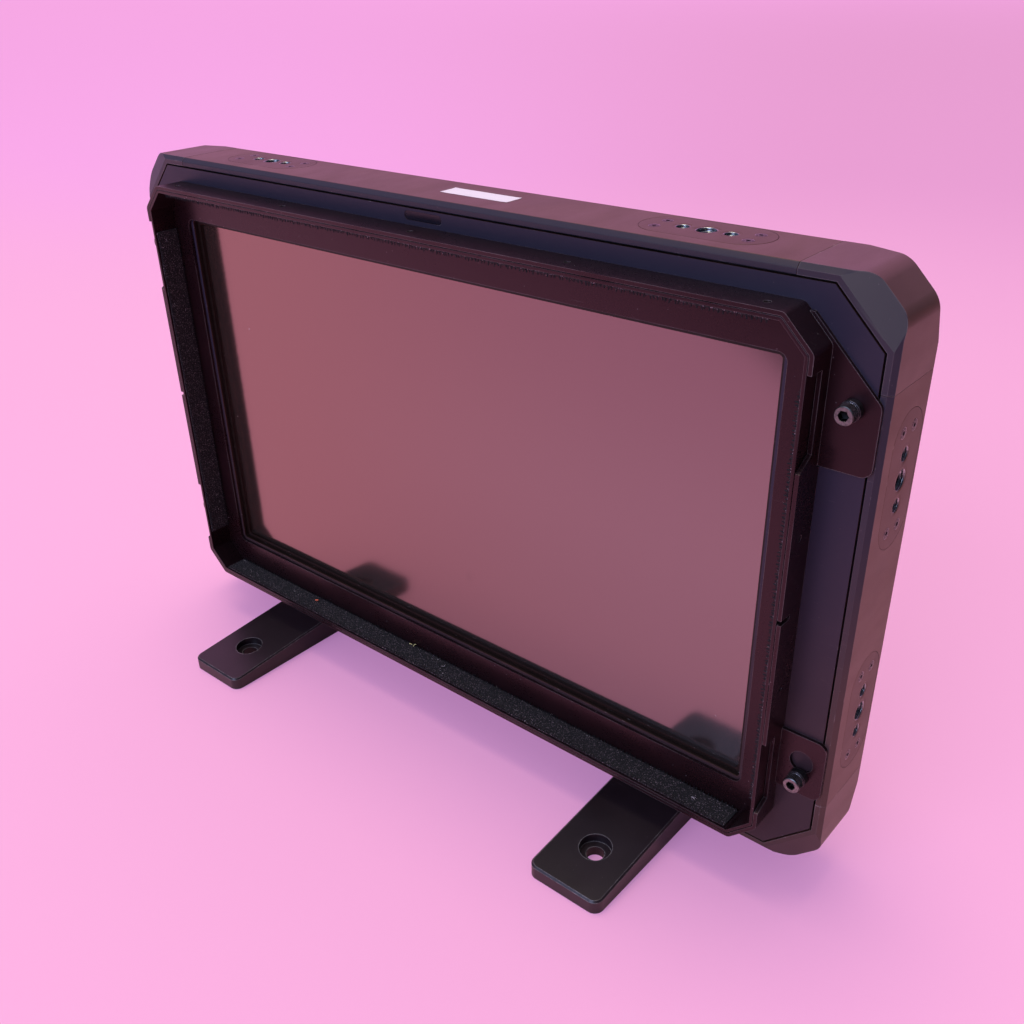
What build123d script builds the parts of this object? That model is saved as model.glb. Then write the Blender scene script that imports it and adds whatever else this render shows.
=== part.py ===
from build123d import *
import math
import os

# A nineteen inch recording monitor on two foot bars, with the mounting frame of a
# screen hood on its front.
# Millimetres. X runs along the width, Y from the screen to the back, Z up.
# The origin is on the floor, in the middle of the width, on the line of the
# threaded inserts. The pieces of the body are drawn about its own middle and are
# lifted by MID_Z when they are written.

# Visible screen and the borders that make the size of the body
SCREEN_W = 406.0
SCREEN_H = 224.4
SCREEN_RISE = 1.2
SCREEN_R = 2.0
SIDE_BORDER = 49.0
END_BORDER = 40.8

# Body rim: four rails and four corner castings
FRONT = -25.0
RIM_DEPTH = 43.5
RAIL_WALL = 4.8
CORNER_LEG = 15.0
CORNER_R = 12.0
CORNER_SPAN = 45.7
SEAM_GAP = 0.2
EDGE_CHAMFER = 2.2
LEDGE_W = 8.0
LEDGE_T = 3.0
LIP_W = 2.5
FACET_LEG = 30.0
FACET_DEPTH = 5.0
REAR_FACET_LEG = 41.0
REAR_FACET_DEPTH = 8.5

# Front bezel, sensor window and screen stack
BEZEL_T = 3.0
BEZEL_BLIND = 2.2
GROOVE_W = 1.0
REVEAL_STEP = 2.3
GLASS_SINK = 5.5
GLASS_T = 2.0
GLASS_MARGIN = 7.0
FLANGE_MARGIN = 9.0
GASKET_W = 5.0
GASKET_T = 1.4
SOFT_GAP = 0.3
LCD_T = 3.0
LCD_MARGIN = 10.0
BACKLIGHT_T = 9.5
BACKLIGHT_MARGIN = 11.5
SENSOR_W = 26.0
SENSOR_H = 4.5
SENSOR_T = 1.5
SENSOR_DROP = 9.4
SENSOR_SINK = 0.2
FIT_GAP = 0.2

# Chassis plate and boards behind the screen
CHASSIS_T = 2.0
CHASSIS_INSET = 13.5
LUG_REACH_X = 36.0
LUG_REACH_Z = 29.5
CHASSIS_SCREW_IN_X = 27.5
CHASSIS_SCREW_IN_Z = 23.5
CHASSIS_SCREW_L = 7.0
STANDOFF_H = 4.0
STANDOFF_R = 3.2
BOARD_T = 1.6
BOARD_EDGE = 6.0
MAIN_BOARD = (-20.0, -15.0, 200.0, 130.0)
POWER_BOARD = (140.0, -60.0, 90.0, 70.0)
MAIN_CHIPS = (
    (-16.0, 0.0, 30.0, 30.0, 1.9),
    (24.0, 0.0, 24.0, 24.0, 1.9),
    (-75.0, 30.0, 18.0, 40.0, 3.0),
    (75.0, -35.0, 30.0, 12.0, 6.0),
)
POWER_CHIPS = (
    (-25.0, 0.0, 22.0, 22.0, 9.0),
    (8.0, 12.0, 16.0, 16.0, 10.0),
    (28.0, -10.0, 14.0, 24.0, 8.0),
)
HEAT_SINK_W = 84.0
HEAT_SINK_H = 64.0
HEAT_SINK_T = 10.0
HEAT_SINK_BASE = 2.0
FIN_COUNT = 14
FIN_T = 1.6
CABLE_W = 40.0
CABLE_T = 0.6
CABLE_DROP = 12.0

# Rear cover, the hump on it and the bays for the plugs
COVER_T = 3.0
COVER_GAP = 0.4
SHELL_T = 2.5
HUMP_IN_X = 48.0
HUMP_IN_Z = 39.0
HUMP_RISE_Y = 17.0
HUMP_R = 14.0
HUMP_EDGE = 3.0
BAY_END = 6.5
BAY_W = 28.0
BAY_FLOOR = 3.0
PANEL_TOP_GAP = 2.5
PLATE_SCREW_INSET = 9.2
VENT_X = 70.0
VENT_RISE = 24.0
VENT_COUNT = 12
VENT_PITCH = 12.0
VENT_L = 24.0
VENT_W = 4.0
SPEAKER = (-60.0, -92.0, 64.0, 24.0, 10.0)
SPEAKER_SLOTS = 5
SPEAKER_SLOT_L = 18.0
SPEAKER_SLOT_W = 2.5
SPEAKER_SLOT_PITCH = 10.0

# Plate for a wall bracket
VESA_PITCH = 100.0
VESA_PLATE = 120.0
VESA_T = 3.0
VESA_HOLE_R = 2.1
VESA_SCREW_X = 54.0
VESA_SCREW_Z = 27.0
VESA_R = 6.0

# Fan behind its grille
FAN_X = 110.0
FAN_Z = 42.0
FAN_SIZE = 60.0
FAN_T = 14.0
FAN_BORE_R = 28.3
FAN_TIP_GAP = 1.3
FAN_HUB_R = 12.0
FAN_BLADES = 7
FAN_PIN_R = 1.5
RUN_GAP = 0.07
FAN_SCREW_OUT = 25.0
FAN_ARM_W = 4.0
FAN_ARM_T = 2.0
BLADE_T = 1.2
BLADE_TILT = 38.0
GRILLE_SIZE = 66.0
GRILLE_T = 1.5
GRILLE_R = 4.0
GRILLE_SCREW_L = 8.0
GRILLE_RINGS = 4
GRILLE_RING_PITCH = 6.2
GRILLE_SLOT_W = 4.4
GRILLE_BAR_W = 2.4

# Drive caddy, its dock and the two push buttons on top of the hump
CADDY_X = -110.0
CADDY_W = 80.0
CADDY_T = 11.0
CADDY_L = 106.0
CADDY_PROUD = 4.0
DOCK_WALL = 2.2
SLIDE_GAP = 0.3
DRIVE_W = 69.8
DRIVE_T = 7.0
DRIVE_L = 96.0
DRIVE_FOOT = 1.5
GRIP_HALF = 16.0
GRIP_T = 2.0
BUTTON_PROUD = 1.6
BUTTON_FLANGE_T = 1.5
BUTTON_FLANGE_W = 1.2
BUTTON_IN = 0.8
BUTTON_L = 7.0
BUTTON_EDGE = 0.6
POWER_BUTTON_X = 150.0
POWER_BUTTON_R = 5.0
EJECT_BUTTON_OUT = 18.0
EJECT_BUTTON_R = 4.0

# Sockets in the two bays
XLR_PITCH = 34.0
XLR_FLANGE_W = 26.0
XLR_FLANGE_L = 31.0
XLR_FLANGE_T = 3.0
XLR_BODY_R = 11.8
XLR_BODY_L = 20.0
XLR_BORE_R = 9.5
XLR_BORE_L = 14.0
XLR_CORE_R = 7.7
XLR_PIN_R = 1.2
XLR_PIN_RING = 4.4
XLR_PIN_L = 8.0
LATCH_W = 8.0
LATCH_L = 4.0
LATCH_OUT = 12.4
LATCH_PROUD = 0.8
LATCH_T = 2.2
BNC_END = 12.0
BNC_PITCH = 17.0
BNC_COUNT = 6
BNC_R = 4.85
BNC_L = 11.0
BNC_NUT_R = 7.5
BNC_NUT_T = 2.4
BNC_WALL = 0.8
BNC_BORE_L = 7.0
BNC_CORE_R = 1.9
BNC_CONTACT_R = 0.5
BNC_LUG_R = 0.95
BNC_LUG_OUT = 1.1
BNC_LUG_DROP = 2.2
BNC_TAIL_IN = 0.3
BNC_TAIL_L = 14.0
HDMI_BELOW = 26.0
HDMI_PITCH = 20.0
HDMI_W = 15.2
HDMI_H = 6.0
HDMI_WALL = 0.6
HDMI_L = 12.0
HDMI_PROUD = 0.6
HDMI_DEPTH = 9.0
HDMI_TONGUE_L = 3.5
HDMI_TONGUE_T = 1.0
HDMI_TONGUE_SIDE = 2.0
JACK_BELOW = 23.0
JACK_L = 12.0
JACK_R = 4.5
JACK_NUT_T = 1.8
JACK_NUT_STEP = 1.0
SMALL_EDGE = 0.4
XLR_CORNER_R = 2.5
JACK_BORE_R = 1.8

# Threaded inserts in the rails, for arms, stands and the foot bars
INSERT_END_X = 56.3
INSERT_END_Z = 45.3
INSERT_L = 66.0
INSERT_W = 30.0
INSERT_T = 3.0
INSERT_GAP = 0.1
CORE_L = 38.0
CORE_W = 20.0
CORE_T = 9.0
PAD_T = 4.0
LARGE_THREAD_R = 4.76
SMALL_THREAD_R = 3.18
SMALL_THREAD_OUT = 12.2
SLEEVE_WALL = 1.0
SLEEVE_SINK = 0.6
INSERT_SCREW_OUT = 23.6
INSERT_SCREW_ACROSS = 5.6

# Foot bars
FOOT_H = 18.5
FOOT_W = 46.0
FOOT_L = 205.5
FOOT_TIP = 8.3
FOOT_SLOPE = 0.084
FOOT_SEAT = 36.0
FOOT_R = 5.5
FOOT_EDGE = 1.0
FOOT_HOLE_IN = 30.0
FOOT_HOLE_R = 5.0
FOOT_SINK_R = 9.0
FOOT_SINK_FLOOR = 6.0
FOOT_HEAD_ROOM = 10.5
LARGE_HEAD_R = 7.1
LARGE_HEAD_T = 9.5
SMALL_HEAD_R = 4.7
SMALL_HEAD_T = 6.4

# Mounting frame of the hood
HOOD_IN_X = 26.0
HOOD_IN_Z = 14.85
HOOD_RISE = 0.65
HOOD_LEG = 14.5
HOOD_R = 4.0
HOOD_MIN_R = 0.8
HOOD_SHEET = 2.0
HOOD_DEPTH = 18.0
HOOD_OPEN_X = 4.5
HOOD_OPEN_Z = 3.65
HOOD_OPEN_R = 4.5
INNER_GAP = 0.3
INNER_T = 1.7
FLANGE_LOW = 7.0
SLIT_W = 2.5
SLIT_FLOOR = 8.0
HOOD_SCREW_IN_RIGHT = 14.2
HOOD_SCREW_IN_LEFT = 19.7
HOOD_SCREW_FROM_TOP = 53.3
HOOD_SCREW_FROM_FOOT = 60.4
EAR_IN = 2.5
EAR_R = 5.0
UPPER_EAR_BELOW = 28.2
UPPER_EAR_SHOULDER = 3.3
UPPER_EAR_ABOVE = 36.1
LOWER_EAR_BELOW = 10.9
LOWER_EAR_ABOVE = 23.8
UPPER_NOTCH = (-26.7, -20.7, 15.9)
LOWER_NOTCH = (-20.4, -16.4, 23.1)
HOOD_SCREW_R = 2.45
HOOD_SCREW_HEAD_R = 4.3
HOOD_SCREW_HEAD_T = 5.5
HOOD_SCREW_L = 14.5
HOOD_HEX = 4.0
KEYHOLE_R = 6.0
KEYHOLE_RISE = 8.8
EAR_HOLE_R = 2.75
COLLAR_R = 4.7
COLLAR_T = 3.4
LUG_T = 9.0
LUG_HALF = 8.0
RIVET_R = 1.6
RIVET_DIMPLE = 0.5
RIVET_END = 26.0
RIVET_SIDE_Z = 40.0
STRIP_W = 15.0
STRIP_T = 1.8
STRIP_BACK_GAP = 0.3
SIDE_STRIP_END = 30.0
TOP_STRIP_END = 21.0
BOTTOM_STRIP_END = 18.0

# Blank label on the top rail
LABEL_X = 18.9
LABEL_BACK = 23.2
LABEL_W = 45.0
LABEL_D = 12.0
LABEL_T = 0.15
LABEL_R = 0.6

# Screws that hold plates
M3_SHANK_R = 1.45
M3_THREAD_R = 1.5
M3_PASS_R = 1.7
M3_HEAD_R = 2.9
M3_HEAD_T = 1.7
M3_SOCKET = 2.0
M3_SOCKET_L = 1.2
PLATE_SCREW_END = 16.3
PLATE_SCREW_SIDE_Z = 42.0

# Places worked out from the sizes above
BODY_W = SCREEN_W + 2 * SIDE_BORDER
BODY_H = SCREEN_H + 2 * END_BORDER
SEAM_X = BODY_W / 2 - CORNER_SPAN
SEAM_Z = BODY_H / 2 - CORNER_SPAN
BACK_OF_RIM = FRONT + RIM_DEPTH
BEZEL_BACK = FRONT + BEZEL_T
LEDGE_BACK = BEZEL_BACK + LEDGE_T
COVER_FRONT = BACK_OF_RIM - COVER_T
REAR_LEDGE = COVER_FRONT - LEDGE_T
GLASS_FRONT = FRONT + GLASS_SINK
GLASS_BACK = GLASS_FRONT + GLASS_T
LCD_FRONT = GLASS_BACK + GASKET_T + 2 * SOFT_GAP
LCD_BACK = LCD_FRONT + LCD_T
CHASSIS_FRONT = LCD_BACK + BACKLIGHT_T
CHASSIS_BACK = CHASSIS_FRONT + CHASSIS_T
BOARD_FRONT = CHASSIS_BACK + STANDOFF_H
BOARD_BACK = BOARD_FRONT + BOARD_T
HUMP_BACK = BACK_OF_RIM + HUMP_RISE_Y
HUMP_INNER = HUMP_BACK - SHELL_T
HUMP_W = BODY_W - 2 * HUMP_IN_X
HUMP_H = BODY_H - 2 * HUMP_IN_Z
HUMP_TOP = HUMP_H / 2
BAY_HALF = 2 * XLR_PITCH + XLR_FLANGE_L / 2 + BAY_END
PANEL_OUTER = HUMP_W / 2
PANEL_INNER = PANEL_OUTER - SHELL_T
PANEL_BACK = HUMP_BACK - PANEL_TOP_GAP
PANEL_MID_Y = (BAY_FLOOR + PANEL_BACK) / 2
INSERT_X = SEAM_X - INSERT_END_X
INSERT_Z = SEAM_Z - INSERT_END_Z
HOOD_W = BODY_W - 2 * HOOD_IN_X
HOOD_H = BODY_H - 2 * HOOD_IN_Z
HOOD_SCREW_RIGHT_X = BODY_W / 2 - HOOD_SCREW_IN_RIGHT
HOOD_SCREW_LEFT_X = HOOD_SCREW_IN_LEFT - BODY_W / 2
HOOD_SCREW_UPPER_Z = BODY_H / 2 - HOOD_SCREW_FROM_TOP
HOOD_SCREW_LOWER_Z = HOOD_SCREW_FROM_FOOT - BODY_H / 2
EAR_X = BODY_W / 2 - EAR_IN
PLATE_FRONT = FRONT - HOOD_SHEET
HOOD_FRONT = FRONT - HOOD_DEPTH
INNER_HALF_W = HOOD_W / 2 - HOOD_SHEET - INNER_GAP
INNER_HALF_H = HOOD_H / 2 - HOOD_SHEET - INNER_GAP
COLLAR_FRONT = PLATE_FRONT - COLLAR_T
GROOVE_LEG = FACET_LEG - 2 * RAIL_WALL + LIP_W * math.sqrt(2)
REAR_GROOVE_LEG = REAR_FACET_LEG - 2 * RAIL_WALL + LIP_W * math.sqrt(2)
BUTTON_Y = BACK_OF_RIM + POWER_BUTTON_R + SLIDE_GAP + BUTTON_IN
INSERT_DEPTH = INSERT_T + CORE_T
MID_Z = FOOT_H + BODY_H / 2
FAR = 1000.0


def rod(x, y, z, radius, length):
    """A round bar along Y, from y to y plus length."""
    return Pos(x, y + length / 2, z) * Rot(90, 0, 0) * Cylinder(radius, length)


def block(x, y, z):
    """A box between the lowest and highest values of each pair."""
    middle = Pos((x[0] + x[1]) / 2, (y[0] + y[1]) / 2, (z[0] + z[1]) / 2)
    return middle * Box(x[1] - x[0], y[1] - y[0], z[1] - z[0])


def prism(sketch, y_front, y_back):
    """Stand a sketch up in X and Z and give it the depth between two values of Y."""
    return extrude(Plane.XZ.offset(-y_back) * sketch, amount=y_back - y_front)


def octagon(half_w, half_h, leg, radius=0.0):
    """A rectangle whose four corners are cut at 45 degrees."""
    a = half_w - leg
    b = half_h - leg
    points = [(half_w, -b), (half_w, b), (a, half_h), (-a, half_h)]
    points += [(-x, -z) for x, z in points]
    face = Polygon(*points, align=None)
    if radius > 0:
        face = fillet(face.vertices(), radius)
    return face


def inset_leg(leg, distance):
    """The leg of a corner cut after the outline has moved inwards."""
    return leg - distance * (2 - math.sqrt(2))


def body_outline(inset, leg, radius=0.0):
    """The outline of the body, moved inwards, with a given corner cut."""
    return octagon(BODY_W / 2 - inset, BODY_H / 2 - inset, leg, radius)


def screen_outline(margin, radius=SCREEN_R):
    """The outline of the visible screen, with a margin all round."""
    width = SCREEN_W + 2 * margin
    height = SCREEN_H + 2 * margin
    return Pos(0, SCREEN_RISE) * RectangleRounded(width, height, radius)


def group(items):
    """Keep separate solids side by side in one sub-part."""
    return Compound([solid for item in items for solid in item.solids()])


def socket_screw(head_r, head_t, shank_r, length, hex_size):
    """A socket head screw along Z whose head stands on the plane Z = 0."""
    edge = head_t / 12
    head = Pos(0, 0, head_t / 2) * Cylinder(head_r, head_t)
    head = chamfer(head.edges().filter_by(GeomType.CIRCLE).sort_by(Axis.Z)[-1], edge)
    socket = Pos(0, 0, head_t) * extrude(RegularPolygon(hex_size / 2, 6, major_radius=False), -head_t / 2)
    shank = Pos(0, 0, -length / 2) * Cylinder(shank_r, length)
    return head - socket + shank


def sunk_screw(length):
    """A countersunk screw along Z whose head lies flush with the plane Z = 0."""
    cone = Pos(0, 0, -M3_HEAD_T / 2) * Cone(M3_SHANK_R, M3_HEAD_R - INSERT_GAP, M3_HEAD_T)
    shank = Pos(0, 0, -length / 2) * Cylinder(M3_SHANK_R, length)
    socket = extrude(RegularPolygon(M3_SOCKET / 2, 6, major_radius=False), -M3_SOCKET_L)
    return cone + shank - socket


def sink_hole(length, radius):
    """The room that a countersunk screw takes, with a hole of the given radius."""
    cone = Pos(0, 0, -M3_HEAD_T / 2) * Cone(M3_SHANK_R + INSERT_GAP, M3_HEAD_R, M3_HEAD_T)
    return cone + Pos(0, 0, -length / 2) * Cylinder(radius, length)


def insert_spots():
    """The frames of the eight inserts: local Z points out of the rail."""
    spots = [Pos(x, 0, BODY_H / 2) for x in (-INSERT_X, INSERT_X)]
    spots += [Pos(x, 0, -BODY_H / 2) * Rot(0, 180, 0) for x in (-INSERT_X, INSERT_X)]
    spots += [Pos(BODY_W / 2, 0, z) * Rot(0, 90, 0) for z in (-INSERT_Z, INSERT_Z)]
    spots += [Pos(-BODY_W / 2, 0, z) * Rot(0, -90, 0) for z in (-INSERT_Z, INSERT_Z)]
    return spots


def insert_screw_spots():
    """The four fixing screws of an insert, in its own frame."""
    return [Pos(x, y, 0) for x in (-INSERT_SCREW_OUT, INSERT_SCREW_OUT)
            for y in (-INSERT_SCREW_ACROSS, INSERT_SCREW_ACROSS)]


def slab(sketch, z_low, z_high):
    """A flat piece between two values of Z."""
    return Pos(0, 0, z_low) * extrude(sketch, z_high - z_low)


def plate_screw_places():
    """Where the bezel and the rear cover are screwed to the ledges of the rails."""
    x_side = BODY_W / 2 - PLATE_SCREW_INSET
    z_side = BODY_H / 2 - PLATE_SCREW_INSET
    x_end = SEAM_X - PLATE_SCREW_END
    along = [x_end * share for share in (-1, -1 / 3, 1 / 3, 1)]
    places = [(x, z) for x in along for z in (-z_side, z_side)]
    places += [(x, z) for x in (-x_side, x_side) for z in (-PLATE_SCREW_SIDE_Z, PLATE_SCREW_SIDE_Z)]
    return places


def hood_screw_places():
    """Side and height of the four screws that hold the hood's frame."""
    heights = (HOOD_SCREW_LOWER_Z, HOOD_SCREW_UPPER_Z)
    return [(x, z) for x in (HOOD_SCREW_LEFT_X, HOOD_SCREW_RIGHT_X) for z in heights]


def chassis_screw_places():
    """The four lugs that carry the chassis plate."""
    x = BODY_W / 2 - CHASSIS_SCREW_IN_X
    z = BODY_H / 2 - CHASSIS_SCREW_IN_Z
    return [(i * x, j * z) for i in (-1, 1) for j in (-1, 1)]


def corner_facet(x_side, z_side, leg, y_edge, depth):
    """The wedge that slants a corner, from the lip to the outer cut of the corner."""
    root = math.sqrt(0.5)
    start = (BODY_W / 2 + BODY_H / 2 - leg) * root
    slope = depth / ((leg - CORNER_LEG) * root)
    reach = 2 * leg
    away = -1 if depth > 0 else 1
    wedge = Polygon((start, y_edge), (start + reach, y_edge + slope * reach),
                    (start + reach, y_edge + away), align=None)
    plane = Plane(origin=(0, 0, 0), x_dir=(x_side * root, 0, z_side * root),
                  z_dir=(-z_side * root, 0, x_side * root))
    return extrude(plane * wedge, amount=BODY_W / 2, both=True)


def rim_blank():
    """The outer shape of the rim, with its ledges and its cavity."""
    solid = prism(body_outline(0, CORNER_LEG, CORNER_R), FRONT, BACK_OF_RIM)
    ends = solid.faces().sort_by(Axis.Y)
    solid = chamfer(ends[0].edges() + ends[-1].edges(), EDGE_CHAMFER)
    for x_side in (-1, 1):
        for z_side in (-1, 1):
            solid -= corner_facet(x_side, z_side, FACET_LEG, FRONT, FACET_DEPTH)
            solid -= corner_facet(x_side, z_side, REAR_FACET_LEG, BACK_OF_RIM, -REAR_FACET_DEPTH)
    inner = RAIL_WALL + LEDGE_W
    solid -= prism(body_outline(RAIL_WALL, GROOVE_LEG), FRONT - 1, BEZEL_BACK)
    solid -= prism(body_outline(inner, inset_leg(GROOVE_LEG, LEDGE_W)), BEZEL_BACK, LEDGE_BACK)
    solid -= prism(body_outline(RAIL_WALL, GROOVE_LEG), LEDGE_BACK, REAR_LEDGE)
    solid -= prism(body_outline(inner, inset_leg(REAR_GROOVE_LEG, LEDGE_W)), REAR_LEDGE, COVER_FRONT)
    solid -= prism(body_outline(RAIL_WALL, REAR_GROOVE_LEG), COVER_FRONT, BACK_OF_RIM + 1)
    return solid


def rim_lugs():
    """The pads behind the inserts and the lugs for the chassis and the hood screws."""
    pad = Box(INSERT_L + PAD_T, INSERT_W + INSERT_GAP * 4, PAD_T + 1)
    pads = [spot * Pos(0, 0, -RAIL_WALL - (PAD_T - 1) / 2) * pad for spot in insert_spots()]
    wall_x = BODY_W / 2 - RAIL_WALL + 1
    wall_z = BODY_H / 2 - RAIL_WALL + 1
    lug = block((BODY_W / 2 - LUG_REACH_X, wall_x), (BEZEL_BACK, CHASSIS_FRONT),
                (BODY_H / 2 - LUG_REACH_Z, wall_z))
    corner = lug & prism(body_outline(RAIL_WALL - 1, CORNER_LEG), BEZEL_BACK, CHASSIS_FRONT)
    upper = [corner, mirror(corner, Plane.YZ)]
    lugs = upper + [mirror(lug, Plane.XY) for lug in upper]
    for x, z in hood_screw_places():
        side = math.copysign(1, x)
        inner = x - side * LUG_HALF
        outer = side * wall_x
        span = (min(inner, outer), max(inner, outer))
        lugs.append(block(span, (BEZEL_BACK, BEZEL_BACK + LUG_T), (z - LUG_HALF, z + LUG_HALF)))
    return pads + lugs


def rim_holes():
    """Everything that is drilled or milled out of the rim."""
    cuts = []
    core = SlotOverall(CORE_L + 2 * INSERT_GAP, CORE_W + 2 * INSERT_GAP)
    for spot in insert_spots():
        cuts.append(spot * slab(SlotOverall(INSERT_L, INSERT_W), -INSERT_T, 1))
        cuts.append(spot * slab(core, -(RAIL_WALL + PAD_T + 1), 0))
        for place in insert_screw_spots():
            depth = RAIL_WALL + PAD_T + 1
            cuts.append(spot * place * Pos(0, 0, -depth / 2) * Cylinder(M3_THREAD_R, depth))
    for x, z in plate_screw_places():
        cuts.append(rod(x, BEZEL_BACK - 1, z, M3_PASS_R, LEDGE_T + 2))
        cuts.append(rod(x, REAR_LEDGE - 1, z, M3_THREAD_R, LEDGE_T + 2))
    for x, z in hood_screw_places():
        cuts.append(rod(x, BEZEL_BACK - 1, z, HOOD_SCREW_R + RUN_GAP, LUG_T + 2))
    for x, z in chassis_screw_places():
        cuts.append(rod(x, CHASSIS_FRONT - CHASSIS_SCREW_L, z, M3_THREAD_R, CHASSIS_SCREW_L + 1))
    return cuts


def rim_pieces():
    """Cut the rim at its seams into four rails and four corner castings."""
    rim = rim_blank()
    rim = rim + rim_lugs()
    rim = rim - rim_holes()
    half = SEAM_GAP / 2
    depth = (FRONT - 1, BACK_OF_RIM + 1)
    along_x = (-SEAM_X + half, SEAM_X - half)
    along_z = (-SEAM_Z + half, SEAM_Z - half)
    above = (SEAM_Z + half, FAR)
    below = (-FAR, -SEAM_Z - half)
    right = (SEAM_X + half, FAR)
    left = (-FAR, -SEAM_X - half)
    regions = {
        "top_rail": (along_x, above),
        "bottom_rail": (along_x, below),
        "left_rail": (left, along_z),
        "right_rail": (right, along_z),
        "corner_top_left": (left, above),
        "corner_top_right": (right, above),
        "corner_bottom_left": (left, below),
        "corner_bottom_right": (right, below),
    }
    return {name: rim & block(x, depth, z) for name, (x, z) in regions.items()}


def insert_plate():
    """One flush insert: a flange in the rail's pocket and a thick threaded core."""
    flange = slab(SlotOverall(INSERT_L - 2 * INSERT_GAP, INSERT_W - 2 * INSERT_GAP), -INSERT_T, 0)
    plate = flange + slab(SlotOverall(CORE_L, CORE_W), -INSERT_DEPTH, -INSERT_T)
    for x, radius in thread_places():
        outer = radius + SLEEVE_WALL
        plate -= Pos(x, 0, -INSERT_DEPTH / 2) * Cylinder(outer, INSERT_DEPTH)
        plate -= Pos(x, 0, -SLEEVE_SINK / 2) * Cone(outer, outer + SLEEVE_SINK, SLEEVE_SINK)
    for place in insert_screw_spots():
        plate -= place * sink_hole(INSERT_T, M3_PASS_R)
    return plate


def thread_places():
    """The large thread in the middle of an insert and the small one at each side."""
    return [(0, LARGE_THREAD_R), (-SMALL_THREAD_OUT, SMALL_THREAD_R), (SMALL_THREAD_OUT, SMALL_THREAD_R)]


def thread_sleeves():
    """The steel sleeves that line the threads of one insert."""
    length = INSERT_DEPTH - SLEEVE_SINK
    sleeves = []
    for x, radius in thread_places():
        sleeve = Cylinder(radius + SLEEVE_WALL, length) - Cylinder(radius, length)
        sleeves.append(Pos(x, 0, -SLEEVE_SINK - length / 2) * sleeve)
    return group(sleeves)


def inserts():
    """Plates, sleeves and fixing screws of all eight inserts."""
    plate = insert_plate()
    sleeves = thread_sleeves()
    screw = sunk_screw(INSERT_T + RAIL_WALL)
    spots = insert_spots()
    return {
        "insert_plates": group([spot * plate for spot in spots]),
        "thread_sleeves": group([spot * sleeves for spot in spots]),
        "insert_screws": group([spot * place * screw for spot in spots for place in insert_screw_spots()]),
    }


def front_bezel():
    """The flat front panel, with a stepped reveal down to the glass."""
    gap_leg = inset_leg(GROOVE_LEG, GROOVE_W)
    panel = prism(body_outline(RAIL_WALL + GROOVE_W, gap_leg), FRONT, BEZEL_BACK)
    panel += prism(screen_outline(FLANGE_MARGIN), BEZEL_BACK, GLASS_FRONT)
    panel -= prism(screen_outline(REVEAL_STEP), FRONT, BEZEL_BACK)
    panel -= prism(screen_outline(0), BEZEL_BACK, GLASS_FRONT)
    window = SlotOverall(SENSOR_W + 2 * INSERT_GAP, SENSOR_H + 2 * INSERT_GAP)
    window = Pos(0, BODY_H / 2 - SENSOR_DROP) * window
    panel -= prism(window, FRONT, FRONT + SENSOR_SINK + SENSOR_T)
    panel -= [rod(x, FRONT, z, EAR_HOLE_R, BEZEL_T) for x, z in hood_screw_places()]
    panel -= [rod(x, BEZEL_BACK - BEZEL_BLIND, z, M3_THREAD_R, BEZEL_BLIND) for x, z in plate_screw_places()]
    return panel


def sensor_window():
    """The dark window of the light sensor in the upper edge of the bezel."""
    shape = Pos(0, BODY_H / 2 - SENSOR_DROP) * SlotOverall(SENSOR_W, SENSOR_H)
    return prism(shape, FRONT + SENSOR_SINK, FRONT + SENSOR_SINK + SENSOR_T)


def screen_stack():
    """Glass, gasket, panel and backlight, one behind the other."""
    gasket = screen_outline(GLASS_MARGIN - 1) - screen_outline(GLASS_MARGIN - 1 - GASKET_W)
    return {
        "screen_glass": prism(screen_outline(GLASS_MARGIN), GLASS_FRONT, GLASS_BACK),
        "glass_gasket": prism(gasket, GLASS_BACK + SOFT_GAP, GLASS_BACK + SOFT_GAP + GASKET_T),
        "lcd_panel": prism(screen_outline(LCD_MARGIN), LCD_FRONT, LCD_BACK),
        "backlight_unit": prism(screen_outline(BACKLIGHT_MARGIN), LCD_BACK, CHASSIS_FRONT),
    }


def board_corners(board):
    """The screw places near the four corners of a board."""
    x, z, width, height = board
    dx = width / 2 - BOARD_EDGE
    dz = height / 2 - BOARD_EDGE
    return [(x + i * dx, z + j * dz) for i in (-1, 1) for j in (-1, 1)]


def mid_chassis():
    """The plate that carries the screen in front and the boards behind."""
    leg = inset_leg(GROOVE_LEG, CHASSIS_INSET - RAIL_WALL)
    plate = prism(body_outline(CHASSIS_INSET, leg), CHASSIS_FRONT, CHASSIS_BACK)
    places = board_corners(MAIN_BOARD) + board_corners(POWER_BOARD)
    plate += [rod(x, CHASSIS_BACK, z, STANDOFF_R, STANDOFF_H) for x, z in places]
    plate -= [rod(x, CHASSIS_BACK, z, M3_THREAD_R, STANDOFF_H) for x, z in places]
    plate -= [rod(x, CHASSIS_FRONT, z, M3_PASS_R, CHASSIS_T) for x, z in chassis_screw_places()]
    half = CABLE_W / 2 + 1
    slot_z = cable_foot()
    plate -= block((MAIN_BOARD[0] - half, MAIN_BOARD[0] + half), (CHASSIS_FRONT, CHASSIS_BACK),
                   (slot_z - 1, slot_z + CABLE_T + 1))
    return plate


def cable_foot():
    """The height at which the display cable comes through the chassis."""
    return MAIN_BOARD[1] - MAIN_BOARD[3] / 2 - CABLE_DROP


def display_cable():
    """The flat cable from the screen, through the chassis, to the main board."""
    x = (MAIN_BOARD[0] - CABLE_W / 2, MAIN_BOARD[0] + CABLE_W / 2)
    foot = cable_foot()
    rise = BOARD_BACK + CABLE_T
    through = block(x, (CHASSIS_FRONT, rise), (foot, foot + CABLE_T))
    return through + block(x, (BOARD_BACK, rise), (foot, foot + CABLE_DROP + BOARD_EDGE))


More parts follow.
